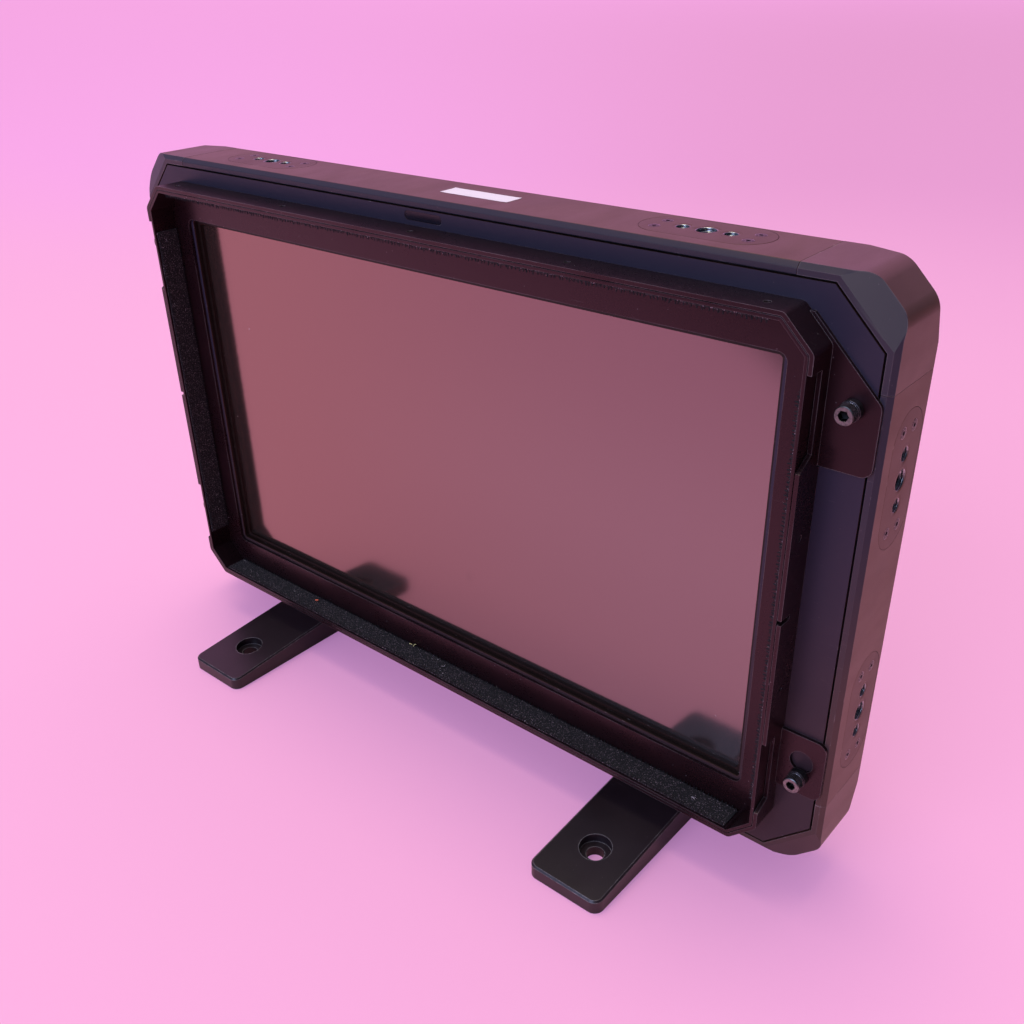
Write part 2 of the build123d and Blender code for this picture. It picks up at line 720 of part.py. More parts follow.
def board(spec, chips):
    """A circuit board with its larger components as low blocks."""
    x, z, width, height = spec
    solid = block((x - width / 2, x + width / 2), (BOARD_FRONT, BOARD_BACK), (z - height / 2, z + height / 2))
    for dx, dz, chip_w, chip_h, chip_t in chips:
        solid += block((x + dx - chip_w / 2, x + dx + chip_w / 2), (BOARD_BACK, BOARD_BACK + chip_t),
                       (z + dz - chip_h / 2, z + dz + chip_h / 2))
    return solid - [rod(px, BOARD_FRONT, pz, M3_PASS_R, BOARD_T) for px, pz in board_corners(spec)]


def heat_sink():
    """A finned block on the two processors of the main board."""
    x, z = MAIN_BOARD[0], MAIN_BOARD[1]
    base_y = BOARD_BACK + MAIN_CHIPS[0][-1]
    base = block((x - HEAT_SINK_W / 2, x + HEAT_SINK_W / 2), (base_y, base_y + HEAT_SINK_BASE),
                 (z - HEAT_SINK_H / 2, z + HEAT_SINK_H / 2))
    pitch = (HEAT_SINK_W - FIN_T) / (FIN_COUNT - 1)
    for i in range(FIN_COUNT):
        left = x - HEAT_SINK_W / 2 + i * pitch
        base += block((left, left + FIN_T), (base_y + 1, base_y + HEAT_SINK_T),
                      (z - HEAT_SINK_H / 2, z + HEAT_SINK_H / 2))
    return base


def internal_screws():
    """Screws of the bezel, the chassis and the boards."""
    head_r = M3_HEAD_R - FIT_GAP
    flat = socket_screw(head_r, M3_HEAD_T, M3_SHANK_R, LEDGE_T + BEZEL_BLIND - FIT_GAP, M3_SOCKET)
    long = socket_screw(head_r, M3_HEAD_T, M3_SHANK_R, CHASSIS_T + CHASSIS_SCREW_L - 1, M3_SOCKET)
    small = socket_screw(head_r, M3_HEAD_T, M3_SHANK_R, BOARD_T + STANDOFF_H - 1, M3_SOCKET)
    back = Rot(-90, 0, 0)
    screws = [Pos(x, LEDGE_BACK, z) * back * flat for x, z in plate_screw_places()]
    screws += [Pos(x, CHASSIS_BACK, z) * back * long for x, z in chassis_screw_places()]
    places = board_corners(MAIN_BOARD) + board_corners(POWER_BOARD)
    screws += [Pos(x, BOARD_BACK, z) * back * small for x, z in places]
    return group(screws)


def hump_outline(inset):
    """The outline of the raised middle of the rear cover."""
    return RectangleRounded(HUMP_W - 2 * inset, HUMP_H - 2 * inset, HUMP_R - inset)


def slot_row(x, z, count, length, width, pitch):
    """Upright slots side by side, through the back of the hump."""
    slots = []
    for i in range(count):
        place = Pos(x + (i - (count - 1) / 2) * pitch, z) * Rot(0, 0, 90)
        slots.append(prism(place * SlotOverall(length, width), HUMP_INNER - 1, HUMP_BACK + 1))
    return slots


def caddy_slot_y():
    """Front and back of the room for the drive caddy."""
    back = HUMP_INNER - DOCK_WALL
    return back - CADDY_T - 2 * SLIDE_GAP, back


def button_places():
    """The two buttons on top of the hump: name, place along X and radius."""
    eject_x = CADDY_X + CADDY_W / 2 + EJECT_BUTTON_OUT
    return [("power_button", POWER_BUTTON_X, POWER_BUTTON_R), ("eject_button", eject_x, EJECT_BUTTON_R)]


def fan_places():
    """The four corner screws of the fan and its grille."""
    return [(FAN_X + i * FAN_SCREW_OUT, FAN_Z + j * FAN_SCREW_OUT) for i in (-1, 1) for j in (-1, 1)]


def vesa_screw_places():
    """The four screws that hold the bracket plate to the hump."""
    return [(i * VESA_SCREW_X, j * VESA_SCREW_Z) for i in (-1, 1) for j in (-1, 1)]


def vesa_holes():
    """The four threaded holes for a wall bracket."""
    half = VESA_PITCH / 2
    return [(i * half, j * half) for i in (-1, 1) for j in (-1, 1)]


def bay_room(side):
    """The room of one bay: its inner end takes the wall of the hump as well."""
    inner = side * (PANEL_INNER - 1)
    outer = side * (PANEL_OUTER + BAY_W)
    return block((min(inner, outer), max(inner, outer)), (BAY_FLOOR, PANEL_BACK), (-BAY_HALF, BAY_HALF))


def rear_cover():
    """The flat back panel in one piece with the trays of the two bays."""
    leg = inset_leg(REAR_GROOVE_LEG, COVER_GAP)
    solid = prism(body_outline(RAIL_WALL + COVER_GAP, leg), COVER_FRONT, BACK_OF_RIM)
    solid -= prism(hump_outline(SHELL_T), COVER_FRONT, BACK_OF_RIM)
    for side in (-1, 1):
        inner = side * PANEL_INNER
        wall = side * (PANEL_OUTER + BAY_W + SHELL_T)
        half = BAY_HALF + SHELL_T
        span = (min(inner, wall), max(inner, wall))
        solid += block(span, (BAY_FLOOR - SHELL_T, BACK_OF_RIM), (-half, half))
        solid -= bay_room(side)
    for x, z in plate_screw_places():
        solid -= rod(x, COVER_FRONT, z, M3_PASS_R, COVER_T)
        solid -= rod(x, BACK_OF_RIM - M3_HEAD_T, z, M3_HEAD_R, M3_HEAD_T)
    return solid


def rear_hump():
    """The shell over the boards, which stands on the rear cover."""
    shell = prism(hump_outline(0), BACK_OF_RIM, HUMP_BACK)
    shell = chamfer(shell.faces().sort_by(Axis.Y)[-1].edges(), HUMP_EDGE)
    hollow = prism(hump_outline(SHELL_T), BACK_OF_RIM, HUMP_INNER)
    shell -= chamfer(hollow.faces().sort_by(Axis.Y)[-1].edges(), HUMP_EDGE / 2)
    return shell - [bay_room(-1), bay_room(1)] - hump_holes()


def hump_holes():
    """Screw holes, vents, the fan's opening, the caddy's slot and the button holes."""
    front = HUMP_INNER - 1
    depth = SHELL_T + 2
    cuts = [rod(FAN_X, front, FAN_Z, FAN_BORE_R, depth)]
    cuts += [rod(x, front, z, M3_THREAD_R, depth) for x, z in fan_places() + vesa_screw_places()]
    cuts += [rod(x, front, z, VESA_HOLE_R, depth) for x, z in vesa_holes()]
    half = CADDY_W / 2 + SLIDE_GAP
    through = (HUMP_TOP - SHELL_T - 1, HUMP_TOP + 1)
    cuts.append(block((CADDY_X - half, CADDY_X + half), caddy_slot_y(), through))
    for _, x, radius in button_places():
        cuts.append(Pos(x, BUTTON_Y, HUMP_TOP - SHELL_T / 2) * Cylinder(radius + SLIDE_GAP, SHELL_T + 2))
    cuts += slot_row(VENT_X, VENT_RISE - HUMP_TOP, VENT_COUNT, VENT_L, VENT_W, VENT_PITCH)
    x, z = SPEAKER[:2]
    cuts += slot_row(x, z, SPEAKER_SLOTS, SPEAKER_SLOT_L, SPEAKER_SLOT_W, SPEAKER_SLOT_PITCH)
    return cuts


def vesa_plate():
    """The steel plate with four threaded holes for a wall bracket or an arm."""
    plate = prism(RectangleRounded(VESA_PLATE, VESA_PLATE, VESA_R), HUMP_BACK, HUMP_BACK + VESA_T)
    plate -= [rod(x, HUMP_BACK, z, VESA_HOLE_R, VESA_T) for x, z in vesa_holes()]
    sink = Rot(-90, 0, 0) * sink_hole(VESA_T, M3_PASS_R)
    return plate - [Pos(x, HUMP_BACK + VESA_T, z) * sink for x, z in vesa_screw_places()]


def exhaust_grille():
    """The slotted plate over the fan."""
    outline = Pos(FAN_X, FAN_Z) * RectangleRounded(GRILLE_SIZE, GRILLE_SIZE, GRILLE_R)
    plate = prism(outline, HUMP_BACK, HUMP_BACK + GRILLE_T)
    rings = []
    for i in range(GRILLE_RINGS):
        outer = FAN_BORE_R - GRILLE_RING_PITCH * i
        inner = outer - GRILLE_SLOT_W
        ring = rod(FAN_X, HUMP_BACK, FAN_Z, outer, GRILLE_T)
        rings.append(ring - rod(FAN_X, HUMP_BACK, FAN_Z, inner, GRILLE_T))
    bar = Box(FAN_SIZE, GRILLE_T, GRILLE_BAR_W)
    spokes = [Pos(FAN_X, HUMP_BACK + GRILLE_T / 2, FAN_Z) * Rot(0, a, 0) * bar for a in (45, 135)]
    openings = group(rings) - spokes
    return plate - openings - [rod(x, HUMP_BACK, z, M3_PASS_R, GRILLE_T) for x, z in fan_places()]


def rear_screws():
    """Screws of the rear cover, the bracket plate and the grille."""
    back = Rot(-90, 0, 0)
    head_r = M3_HEAD_R - FIT_GAP
    flat = socket_screw(head_r, M3_HEAD_T - FIT_GAP, M3_SHANK_R, COVER_T - M3_HEAD_T + LEDGE_T, M3_SOCKET)
    screws = [Pos(x, BACK_OF_RIM - M3_HEAD_T, z) * back * flat for x, z in plate_screw_places()]
    sunk = sunk_screw(VESA_T + SHELL_T)
    screws += [Pos(x, HUMP_BACK + VESA_T, z) * back * sunk for x, z in vesa_screw_places()]
    grille = socket_screw(head_r, M3_HEAD_T, M3_SHANK_R, GRILLE_SCREW_L, M3_SOCKET)
    screws += [Pos(x, HUMP_BACK + GRILLE_T, z) * back * grille for x, z in fan_places()]
    return group(screws)


def fan_housing():
    """The fan's square frame, its round bore and the motor seat on three arms."""
    y = HUMP_INNER - FAN_T
    half = FAN_SIZE / 2
    solid = block((FAN_X - half, FAN_X + half), (y, HUMP_INNER), (FAN_Z - half, FAN_Z + half))
    solid -= rod(FAN_X, y, FAN_Z, FAN_BORE_R, FAN_T)
    arm = Pos(FAN_BORE_R / 2 + 1, 0, 0) * Box(FAN_BORE_R + 1, FAN_ARM_T, FAN_ARM_W)
    solid += [Pos(FAN_X, y + FAN_ARM_T / 2, FAN_Z) * Rot(0, a, 0) * arm for a in (30, 150, 270)]
    solid += rod(FAN_X, y, FAN_Z, FAN_HUB_R, FAN_ARM_T)
    solid += rod(FAN_X, y + FAN_ARM_T, FAN_Z, FAN_PIN_R, FAN_T - FAN_ARM_T - 3)
    return solid - [rod(x, HUMP_INNER - 6, z, M3_THREAD_R, 6) for x, z in fan_places()]


def fan_rotor():
    """The hub and its seven blades, which turn on the pin of the housing."""
    y = HUMP_INNER - FAN_T + FAN_ARM_T + SLIDE_GAP
    length = FAN_T - 2 * FAN_ARM_T
    tip = FAN_BORE_R - FAN_TIP_GAP
    plate = Box(tip - FAN_HUB_R + 4, length * 1.5, BLADE_T)
    blade = Pos((tip + FAN_HUB_R) / 2, 0, 0) * Rot(BLADE_TILT, 0, 0) * plate
    blades = [Rot(0, 0, 360 * i / FAN_BLADES) * blade for i in range(FAN_BLADES)]
    ring = Cylinder(tip, length - 0.6) & group(blades)
    rotor = Cylinder(FAN_HUB_R, length) + ring
    rotor -= Cylinder(FAN_PIN_R + RUN_GAP, length)
    return Pos(FAN_X, y + length / 2, FAN_Z) * Rot(90, 0, 0) * rotor


def speaker():
    """The small loudspeaker behind its slots."""
    x, z, width, height, depth = SPEAKER
    span = (x - width / 2, x + width / 2)
    return block(span, (HUMP_INNER - depth, HUMP_INNER), (z - height / 2, z + height / 2))


def media_dock():
    """The open topped box inside the hump that guides the caddy."""
    front, back = caddy_slot_y()
    half = CADDY_W / 2 + SLIDE_GAP
    foot = HUMP_TOP + CADDY_PROUD - CADDY_L
    top = HUMP_TOP - SHELL_T - HUMP_EDGE / 2 - FIT_GAP
    outer = block((CADDY_X - half - DOCK_WALL, CADDY_X + half + DOCK_WALL),
                  (front - DOCK_WALL, HUMP_INNER), (foot - DOCK_WALL - SLIDE_GAP, top))
    return outer - block((CADDY_X - half, CADDY_X + half), (front, back), (foot - SLIDE_GAP, top))


def media_caddy():
    """The tray that carries the drive, with a finger edge above the hump."""
    front = caddy_slot_y()[0] + SLIDE_GAP
    foot = HUMP_TOP + CADDY_PROUD - CADDY_L
    x = (CADDY_X - CADDY_W / 2, CADDY_X + CADDY_W / 2)
    tray = block(x, (front, front + CADDY_T), (foot, foot + CADDY_L))
    tray = chamfer(tray.edges().filter_by(Axis.Z), 1.0)
    grip = block((CADDY_X - GRIP_HALF, CADDY_X + GRIP_HALF), (front - 1, front + GRIP_T),
                 (HUMP_TOP + 1, foot + CADDY_L + 1))
    room = DRIVE_W / 2 + FIT_GAP
    pocket = block((CADDY_X - room, CADDY_X + room), (front - 1, front + DRIVE_T),
                   (foot + DRIVE_FOOT, foot + DRIVE_FOOT + DRIVE_L + 2 * FIT_GAP))
    return tray - grip - pocket


def media_drive():
    """The flat drive in the caddy."""
    front = caddy_slot_y()[0] + SLIDE_GAP
    low = HUMP_TOP + CADDY_PROUD - CADDY_L + DRIVE_FOOT + FIT_GAP
    half = DRIVE_W / 2
    drive = block((CADDY_X - half, CADDY_X + half), (front + FIT_GAP, front + DRIVE_T), (low, low + DRIVE_L))
    return chamfer(drive.edges().filter_by(Axis.Y), 1.0)


def push_button(x, radius):
    """A round button through the top of the hump, with a flange below the wall."""
    top = HUMP_TOP + BUTTON_PROUD
    cap = Pos(x, BUTTON_Y, top - BUTTON_L / 2) * Cylinder(radius, BUTTON_L)
    cap = fillet(cap.edges().filter_by(GeomType.CIRCLE).sort_by(Axis.Z)[-1], BUTTON_EDGE)
    flange_top = HUMP_TOP - SHELL_T - SLIDE_GAP
    flange = Cylinder(radius + BUTTON_FLANGE_W, BUTTON_FLANGE_T)
    return cap + Pos(x, BUTTON_Y, flange_top - BUTTON_FLANGE_T / 2) * flange


def side_frame(side, z):
    """A frame on the outside of a socket panel: local Z points out of the bay."""
    return Pos(side * PANEL_OUTER, PANEL_MID_Y, z) * Rot(0, 90 * side, 0)


def xlr_places():
    """Heights of the five round sockets: two inputs, two outputs and the power inlet."""
    return [XLR_PITCH * i for i in (2, 1, 0, -1, -2)]


def xlr_flange():
    """The square flange and round body that every round socket shares."""
    flange = slab(RectangleRounded(XLR_FLANGE_L, XLR_FLANGE_W, XLR_CORNER_R), 0, XLR_FLANGE_T)
    flange = chamfer(flange.faces().sort_by(Axis.Z)[-1].edges(), SMALL_EDGE)
    return flange + Pos(0, 0, -XLR_BODY_L / 2) * Cylinder(XLR_BODY_R, XLR_BODY_L)


def xlr_input():
    """A socket for a plug with pins: a ring shaped gap round a core with three holes."""
    depth = XLR_BORE_L - 2
    ring = Cylinder(XLR_BORE_R, depth) - Cylinder(XLR_CORE_R, depth)
    solid = xlr_flange() - Pos(0, 0, XLR_FLANGE_T - depth / 2) * ring
    hole = Pos(XLR_PIN_RING, 0, XLR_FLANGE_T - depth / 2) * Cylinder(XLR_PIN_R, depth)
    solid -= [Rot(0, 0, 90 + 120 * i) * hole for i in range(3)]
    room = slab(Rectangle(LATCH_L + 2 * SLIDE_GAP, LATCH_W + 2 * SLIDE_GAP), 0, XLR_FLANGE_T)
    return solid - Pos(-LATCH_OUT, 0, 0) * room


def xlr_latch():
    """The tab that is pushed in to let a plug go."""
    top = XLR_FLANGE_T + LATCH_PROUD
    tab = slab(Rectangle(LATCH_L, LATCH_W), top - LATCH_T, top)
    tab = chamfer(tab.faces().sort_by(Axis.Z)[-1].edges(), SMALL_EDGE)
    return Pos(-LATCH_OUT, 0, 0) * tab


def pin_socket(pins):
    """A round socket whose pins stand in an open bore."""
    solid = xlr_flange()
    solid -= Pos(0, 0, XLR_FLANGE_T - XLR_BORE_L / 2) * Cylinder(XLR_BORE_R, XLR_BORE_L)
    floor = XLR_FLANGE_T - XLR_BORE_L
    for i in range(pins):
        pin = Pos(XLR_PIN_RING, 0, floor + XLR_PIN_L / 2 - 0.5) * Cylinder(XLR_PIN_R, XLR_PIN_L + 1)
        solid += Rot(0, 0, 360 * (i + 0.5) / pins) * pin
    return solid


def bnc_socket():
    """A bayonet socket with its nut, two side lugs and a centre contact."""
    nut = slab(RegularPolygon(BNC_NUT_R, 6), 0, BNC_NUT_T)
    shell = Pos(0, 0, BNC_L / 2) * Cylinder(BNC_R, BNC_L)
    room = Pos(0, 0, BNC_L - BNC_BORE_L / 2) * Cylinder(BNC_R - BNC_WALL, BNC_BORE_L)
    core = Pos(0, 0, BNC_L - 1 - BNC_BORE_L / 2) * Cylinder(BNC_CORE_R, BNC_BORE_L)
    contact = Pos(0, 0, BNC_L - 2) * Cylinder(BNC_CONTACT_R, 4)
    height = Pos(0, 0, BNC_L - BNC_LUG_DROP)
    lugs = height * Rot(90, 0, 0) * Cylinder(BNC_LUG_R, 2 * (BNC_R + BNC_LUG_OUT))
    lugs -= height * Cylinder(BNC_R - BNC_WALL / 2, 4)
    tail = Pos(0, 0, -BNC_TAIL_L / 2) * Cylinder(BNC_R - BNC_TAIL_IN, BNC_TAIL_L)
    return nut + (shell - room) + (core - contact) + lugs + tail


def hdmi_socket():
    """A flat metal socket with a short tongue at the back."""
    shell = slab(Rectangle(HDMI_W, HDMI_H), -HDMI_L, HDMI_PROUD)
    floor = HDMI_PROUD - HDMI_DEPTH
    shell -= slab(Rectangle(HDMI_W - 2 * HDMI_WALL, HDMI_H - 2 * HDMI_WALL), floor, HDMI_PROUD)
    tongue = Rectangle(HDMI_W - 2 * HDMI_TONGUE_SIDE, HDMI_TONGUE_T)
    return shell + slab(tongue, floor - 1, floor - 1 + HDMI_TONGUE_L)


def headphone_jack():
    """A small round jack with its ring nut."""
    nut = Pos(0, 0, JACK_NUT_T / 2) * Cylinder(JACK_R, JACK_NUT_T)
    nut = chamfer(nut.edges().filter_by(GeomType.CIRCLE).sort_by(Axis.Z)[-1], SMALL_EDGE)
    tail = Pos(0, 0, -JACK_L / 2) * Cylinder(JACK_R - JACK_NUT_STEP, JACK_L)
    return nut + tail - Pos(0, 0, (JACK_NUT_T - JACK_L) / 2) * Cylinder(JACK_BORE_R, JACK_L)


def bnc_heights():
    """Heights of the bayonet sockets, from the top of the bay downwards."""
    return [BAY_HALF - BNC_END - BNC_PITCH * i for i in range(BNC_COUNT)]


def hdmi_heights():
    """Heights of the two flat sockets below them."""
    first = bnc_heights()[-1] - HDMI_BELOW
    return [first, first - HDMI_PITCH]


def socket_panel(side, cuts):
    """A plate that closes the inner side of a bay, with holes for its sockets."""
    x = (min(side * PANEL_INNER, side * PANEL_OUTER), max(side * PANEL_INNER, side * PANEL_OUTER))
    plate = block(x, (BAY_FLOOR, PANEL_BACK - FIT_GAP), (-BAY_HALF + FIT_GAP, BAY_HALF - FIT_GAP))
    return plate - cuts


def audio_bay():
    """The panel on the right with the round sockets, as a dictionary of sub-parts."""
    frames = [side_frame(1, z) for z in xlr_places()]
    hole = Pos(0, 0, -SHELL_T / 2) * Cylinder(XLR_BODY_R + FIT_GAP, SHELL_T + 1)
    return {
        "audio_panel": socket_panel(1, [frame * hole for frame in frames]),
        "xlr_inputs": group([frame * xlr_input() for frame in frames[:2]]),
        "xlr_latch_upper": frames[0] * xlr_latch(),
        "xlr_latch_lower": frames[1] * xlr_latch(),
        "xlr_outputs": group([frame * pin_socket(3) for frame in frames[2:4]]),
        "power_inlet": frames[4] * pin_socket(4),
    }


def video_bay():
    """The panel on the left with the video sockets, as a dictionary of sub-parts."""
    bnc_frames = [side_frame(-1, z) for z in bnc_heights()]
    hdmi_frames = [side_frame(-1, z) for z in hdmi_heights()]
    jack_frame = side_frame(-1, hdmi_heights()[-1] - JACK_BELOW)
    deep = SHELL_T + 1
    bnc_hole = Pos(0, 0, -SHELL_T / 2) * Cylinder(BNC_R - BNC_TAIL_IN + FIT_GAP, deep)
    hdmi_hole = Pos(0, 0, -SHELL_T / 2) * Box(HDMI_W + 2 * FIT_GAP, HDMI_H + 2 * FIT_GAP, deep)
    jack_hole = Pos(0, 0, -SHELL_T / 2) * Cylinder(JACK_R - JACK_NUT_STEP + FIT_GAP, deep)
    cuts = [frame * bnc_hole for frame in bnc_frames] + [frame * hdmi_hole for frame in hdmi_frames]
    cuts.append(jack_frame * jack_hole)
    return {
        "video_panel": socket_panel(-1, cuts),
        "bnc_sockets": group([frame * bnc_socket() for frame in bnc_frames]),
        "hdmi_sockets": group([frame * hdmi_socket() for frame in hdmi_frames]),
        "headphone_jack": jack_frame * headphone_jack(),
    }


def hood_outline(inset):
    """The outline of the hood's frame, moved inwards."""
    half_w = HOOD_W / 2 - inset
    half_h = HOOD_H / 2 - inset
    radius = max(HOOD_R - inset, HOOD_MIN_R)
    return Pos(0, HOOD_RISE) * octagon(half_w, half_h, inset_leg(HOOD_LEG, inset), radius)


def ear_outlines():
    """The four ears of the hood's plate."""
    inner = HOOD_W / 2 - 2 * HOOD_LEG
    foot = HOOD_SCREW_UPPER_Z - UPPER_EAR_BELOW
    shoulder = HOOD_SCREW_UPPER_Z + UPPER_EAR_SHOULDER
    top = HOOD_SCREW_UPPER_Z + UPPER_EAR_ABOVE
    upper = [(inner, foot), (EAR_X, foot), (EAR_X, shoulder), (EAR_X + shoulder - top, top), (inner, top)]
    foot = HOOD_SCREW_LOWER_Z - LOWER_EAR_BELOW
    top = HOOD_SCREW_LOWER_Z + LOWER_EAR_ABOVE
    lower = [(inner, foot), (EAR_X, foot), (EAR_X, top), (inner, top)]
    ears = []
    for points in (upper, lower):
        ear = Polygon(*points, align=None)
        ear = fillet(ear.vertices().filter_by(lambda v: v.X > EAR_X - 0.1), EAR_R)
        ears += [ear, mirror(ear, Plane.YZ)]
    return ears


def flange_notch(screw_z, reach):
    """The notch that lowers the side flanges beside an ear, with a ramp at its lower end."""
    low_z, floor_low_z, high_z = [screw_z + step for step in reach]
    floor_y = PLATE_FRONT - FLANGE_LOW
    front_y = HOOD_FRONT - 1
    ramp = (floor_low_z - low_z) * (floor_y - front_y) / (floor_y - HOOD_FRONT)
    points = [(floor_y, floor_low_z), (front_y, floor_low_z - ramp), (front_y, high_z), (floor_y, high_z)]
    notch = Polygon(*points, align=None)
    return extrude(Plane.YZ * notch, amount=HOOD_W, both=True)


def hood_plate():
    """The folded sheet: a plate with ears and a flange that stands forward."""
    opening = RectangleRounded(SCREEN_W + 2 * HOOD_OPEN_X, SCREEN_H + 2 * HOOD_OPEN_Z, HOOD_OPEN_R)
    opening = Pos(0, HOOD_RISE) * opening
    face = hood_outline(0)
    for ear in ear_outlines():
        face += ear
    solid = prism(face - opening, PLATE_FRONT, FRONT)
    flange = prism(hood_outline(0) - hood_outline(HOOD_SHEET), HOOD_FRONT, PLATE_FRONT)
    flange -= flange_notch(HOOD_SCREW_UPPER_Z, UPPER_NOTCH)
    flange -= flange_notch(HOOD_SCREW_LOWER_Z, LOWER_NOTCH)
    slit = block((-HOOD_W, HOOD_W), (HOOD_FRONT - 1, PLATE_FRONT - SLIT_FLOOR), (-SLIT_W / 2, SLIT_W / 2))
    solid += flange - slit
    for x, z in hood_screw_places():
        solid -= rod(x, PLATE_FRONT, z, EAR_HOLE_R, HOOD_SHEET)
        if z < 0:
            wide = z + KEYHOLE_RISE
            solid -= rod(x, PLATE_FRONT, wide, KEYHOLE_R, HOOD_SHEET)
            solid -= block((x - EAR_HOLE_R, x + EAR_HOLE_R), (PLATE_FRONT, FRONT), (z, wide))
    return solid - [cut for cut, _ in rivets()]


def hood_inner_frame():
    """The ring that lines the flange and carries the hook strips."""
    start = HOOD_SHEET + INNER_GAP
    ring = prism(hood_outline(start) - hood_outline(start + INNER_T), HOOD_FRONT, PLATE_FRONT)
    return ring - [cut for cut, _ in rivets()]


def rivets():
    """The flush rivets through the flange and the ring, each with the hole it fills."""
    depth = HOOD_SHEET + INNER_GAP + INNER_T
    middle = (HOOD_FRONT + PLATE_FRONT) / 2
    frames = []
    for share in (-1, -0.5, 0, 0.5, 1):
        x = share * (HOOD_W / 2 - RIVET_END)
        frames.append(Pos(x, middle, HOOD_RISE + HOOD_H / 2))
        frames.append(Pos(x, middle, HOOD_RISE - HOOD_H / 2) * Rot(180, 0, 0))
    for z in (-RIVET_SIDE_Z, RIVET_SIDE_Z):
        frames.append(Pos(HOOD_W / 2, middle, z) * Rot(0, 90, 0))
        frames.append(Pos(-HOOD_W / 2, middle, z) * Rot(0, -90, 0))
    pin = Pos(0, 0, -(depth + RIVET_DIMPLE) / 2) * Cylinder(RIVET_R, depth - RIVET_DIMPLE)
    hole = Pos(0, 0, -depth / 2) * Cylinder(RIVET_R, depth + 2)
    return [(frame * hole, frame * pin) for frame in frames]


def hook_strips():
    """The soft strips of hooks on the inner faces of the ring."""
    back = PLATE_FRONT - STRIP_BACK_GAP
    y = (back - STRIP_W + STRIP_BACK_GAP, back)
    x_face = INNER_HALF_W - INNER_T - SOFT_GAP
    z_face = INNER_HALF_H - INNER_T - SOFT_GAP
    side = HOOD_H / 2 - SIDE_STRIP_END
    side_z = (HOOD_RISE - side, HOOD_RISE + side)
    strips = [block((x_face - STRIP_T, x_face), y, side_z), block((-x_face, STRIP_T - x_face), y, side_z)]
    top = HOOD_RISE + z_face
    foot = HOOD_RISE - z_face
    half = HOOD_W / 2 - TOP_STRIP_END
    strips.append(block((-half, half), y, (top - STRIP_T, top)))
    half = HOOD_W / 2 - BOTTOM_STRIP_END
    strips.append(block((-half, half), y, (foot, foot + STRIP_T)))
    return group(strips)


def hood_screw(x, z):
    """A screw with a tall round head that holds one ear of the hood's frame."""
    screw = socket_screw(HOOD_SCREW_HEAD_R, HOOD_SCREW_HEAD_T, HOOD_SCREW_R, HOOD_SCREW_L, HOOD_HEX)
    return Pos(x, COLLAR_FRONT - RUN_GAP, z) * Rot(90, 0, 0) * screw


def hood_collars():
    """The plain collars between the ears and the heads of their screws."""
    collars = []
    for x, z in hood_screw_places():
        collar = rod(x, COLLAR_FRONT, z, COLLAR_R, COLLAR_T)
        collars.append(collar - rod(x, COLLAR_FRONT, z, HOOD_SCREW_R + FIT_GAP, COLLAR_T))
    return group(collars)


def top_label():
    """A blank white label on the top rail."""
    y = FRONT + LABEL_BACK
    shape = Pos(LABEL_X, y) * RectangleRounded(LABEL_W, LABEL_D, LABEL_R)
    return slab(shape, BODY_H / 2, BODY_H / 2 + LABEL_T)


def foot_bar():
    """One foot bar, with its floor side on Z = 0 and its middle on the origin."""
    half = FOOT_L / 2
    seat = FOOT_SEAT / 2
    shoulder = FOOT_TIP + FOOT_SLOPE * (half - seat)
    side = [(-half, 0), (half, 0), (half, FOOT_TIP), (seat, shoulder), (seat, FOOT_H),
            (-seat, FOOT_H), (-seat, shoulder), (-half, FOOT_TIP)]
    bar = extrude(Plane.YZ * Polygon(*side, align=None), amount=FOOT_W / 2, both=True)
    uprights = bar.edges().filter_by(Axis.Z).filter_by(lambda e: abs(e.center().Y) > half - 1)
    bar = fillet(uprights, FOOT_R)
    tops = bar.faces().filter_by(lambda f: 0.9 < f.normal_at().Z < 0.9999)
    bar = chamfer(tops.edges().filter_by(lambda e: abs(e.center().Y) > seat + 0.5), FOOT_EDGE)
    for y in (-half + FOOT_HOLE_IN, half - FOOT_HOLE_IN):
        bar -= Pos(0, y, FOOT_H / 2) * Cylinder(FOOT_HOLE_R, FOOT_H + 2)
        bar -= Pos(0, y, FOOT_SINK_FLOOR + FOOT_H / 2) * Cylinder(FOOT_SINK_R, FOOT_H)
    recess = SlotOverall(2 * (SMALL_THREAD_OUT + LARGE_HEAD_R), 2 * (LARGE_HEAD_R + FIT_GAP))
    bar -= slab(recess, 0, FOOT_HEAD_ROOM)
    for x, radius in thread_places():
        bar -= Pos(x, 0, FOOT_H / 2) * Cylinder(radius + 2 * FIT_GAP, FOOT_H + 2)
    return bar


def foot_bolts():
    """The bolts from below, through each foot bar into the insert above it."""
    reach = FOOT_H - FOOT_HEAD_ROOM + INSERT_DEPTH - 2
    large = socket_screw(LARGE_HEAD_R, LARGE_HEAD_T, LARGE_THREAD_R - FIT_GAP, reach, LARGE_HEAD_R)
    small = socket_screw(SMALL_HEAD_R, SMALL_HEAD_T, SMALL_THREAD_R - FIT_GAP, reach, SMALL_HEAD_R)
    bolts = []
    for foot_x in (-INSERT_X, INSERT_X):
        for x, radius in thread_places():
            screw = large if radius == LARGE_THREAD_R else small
            bolts.append(Pos(foot_x + x, 0, FOOT_HEAD_ROOM) * Rot(180, 0, 0) * screw)
    return group(bolts)


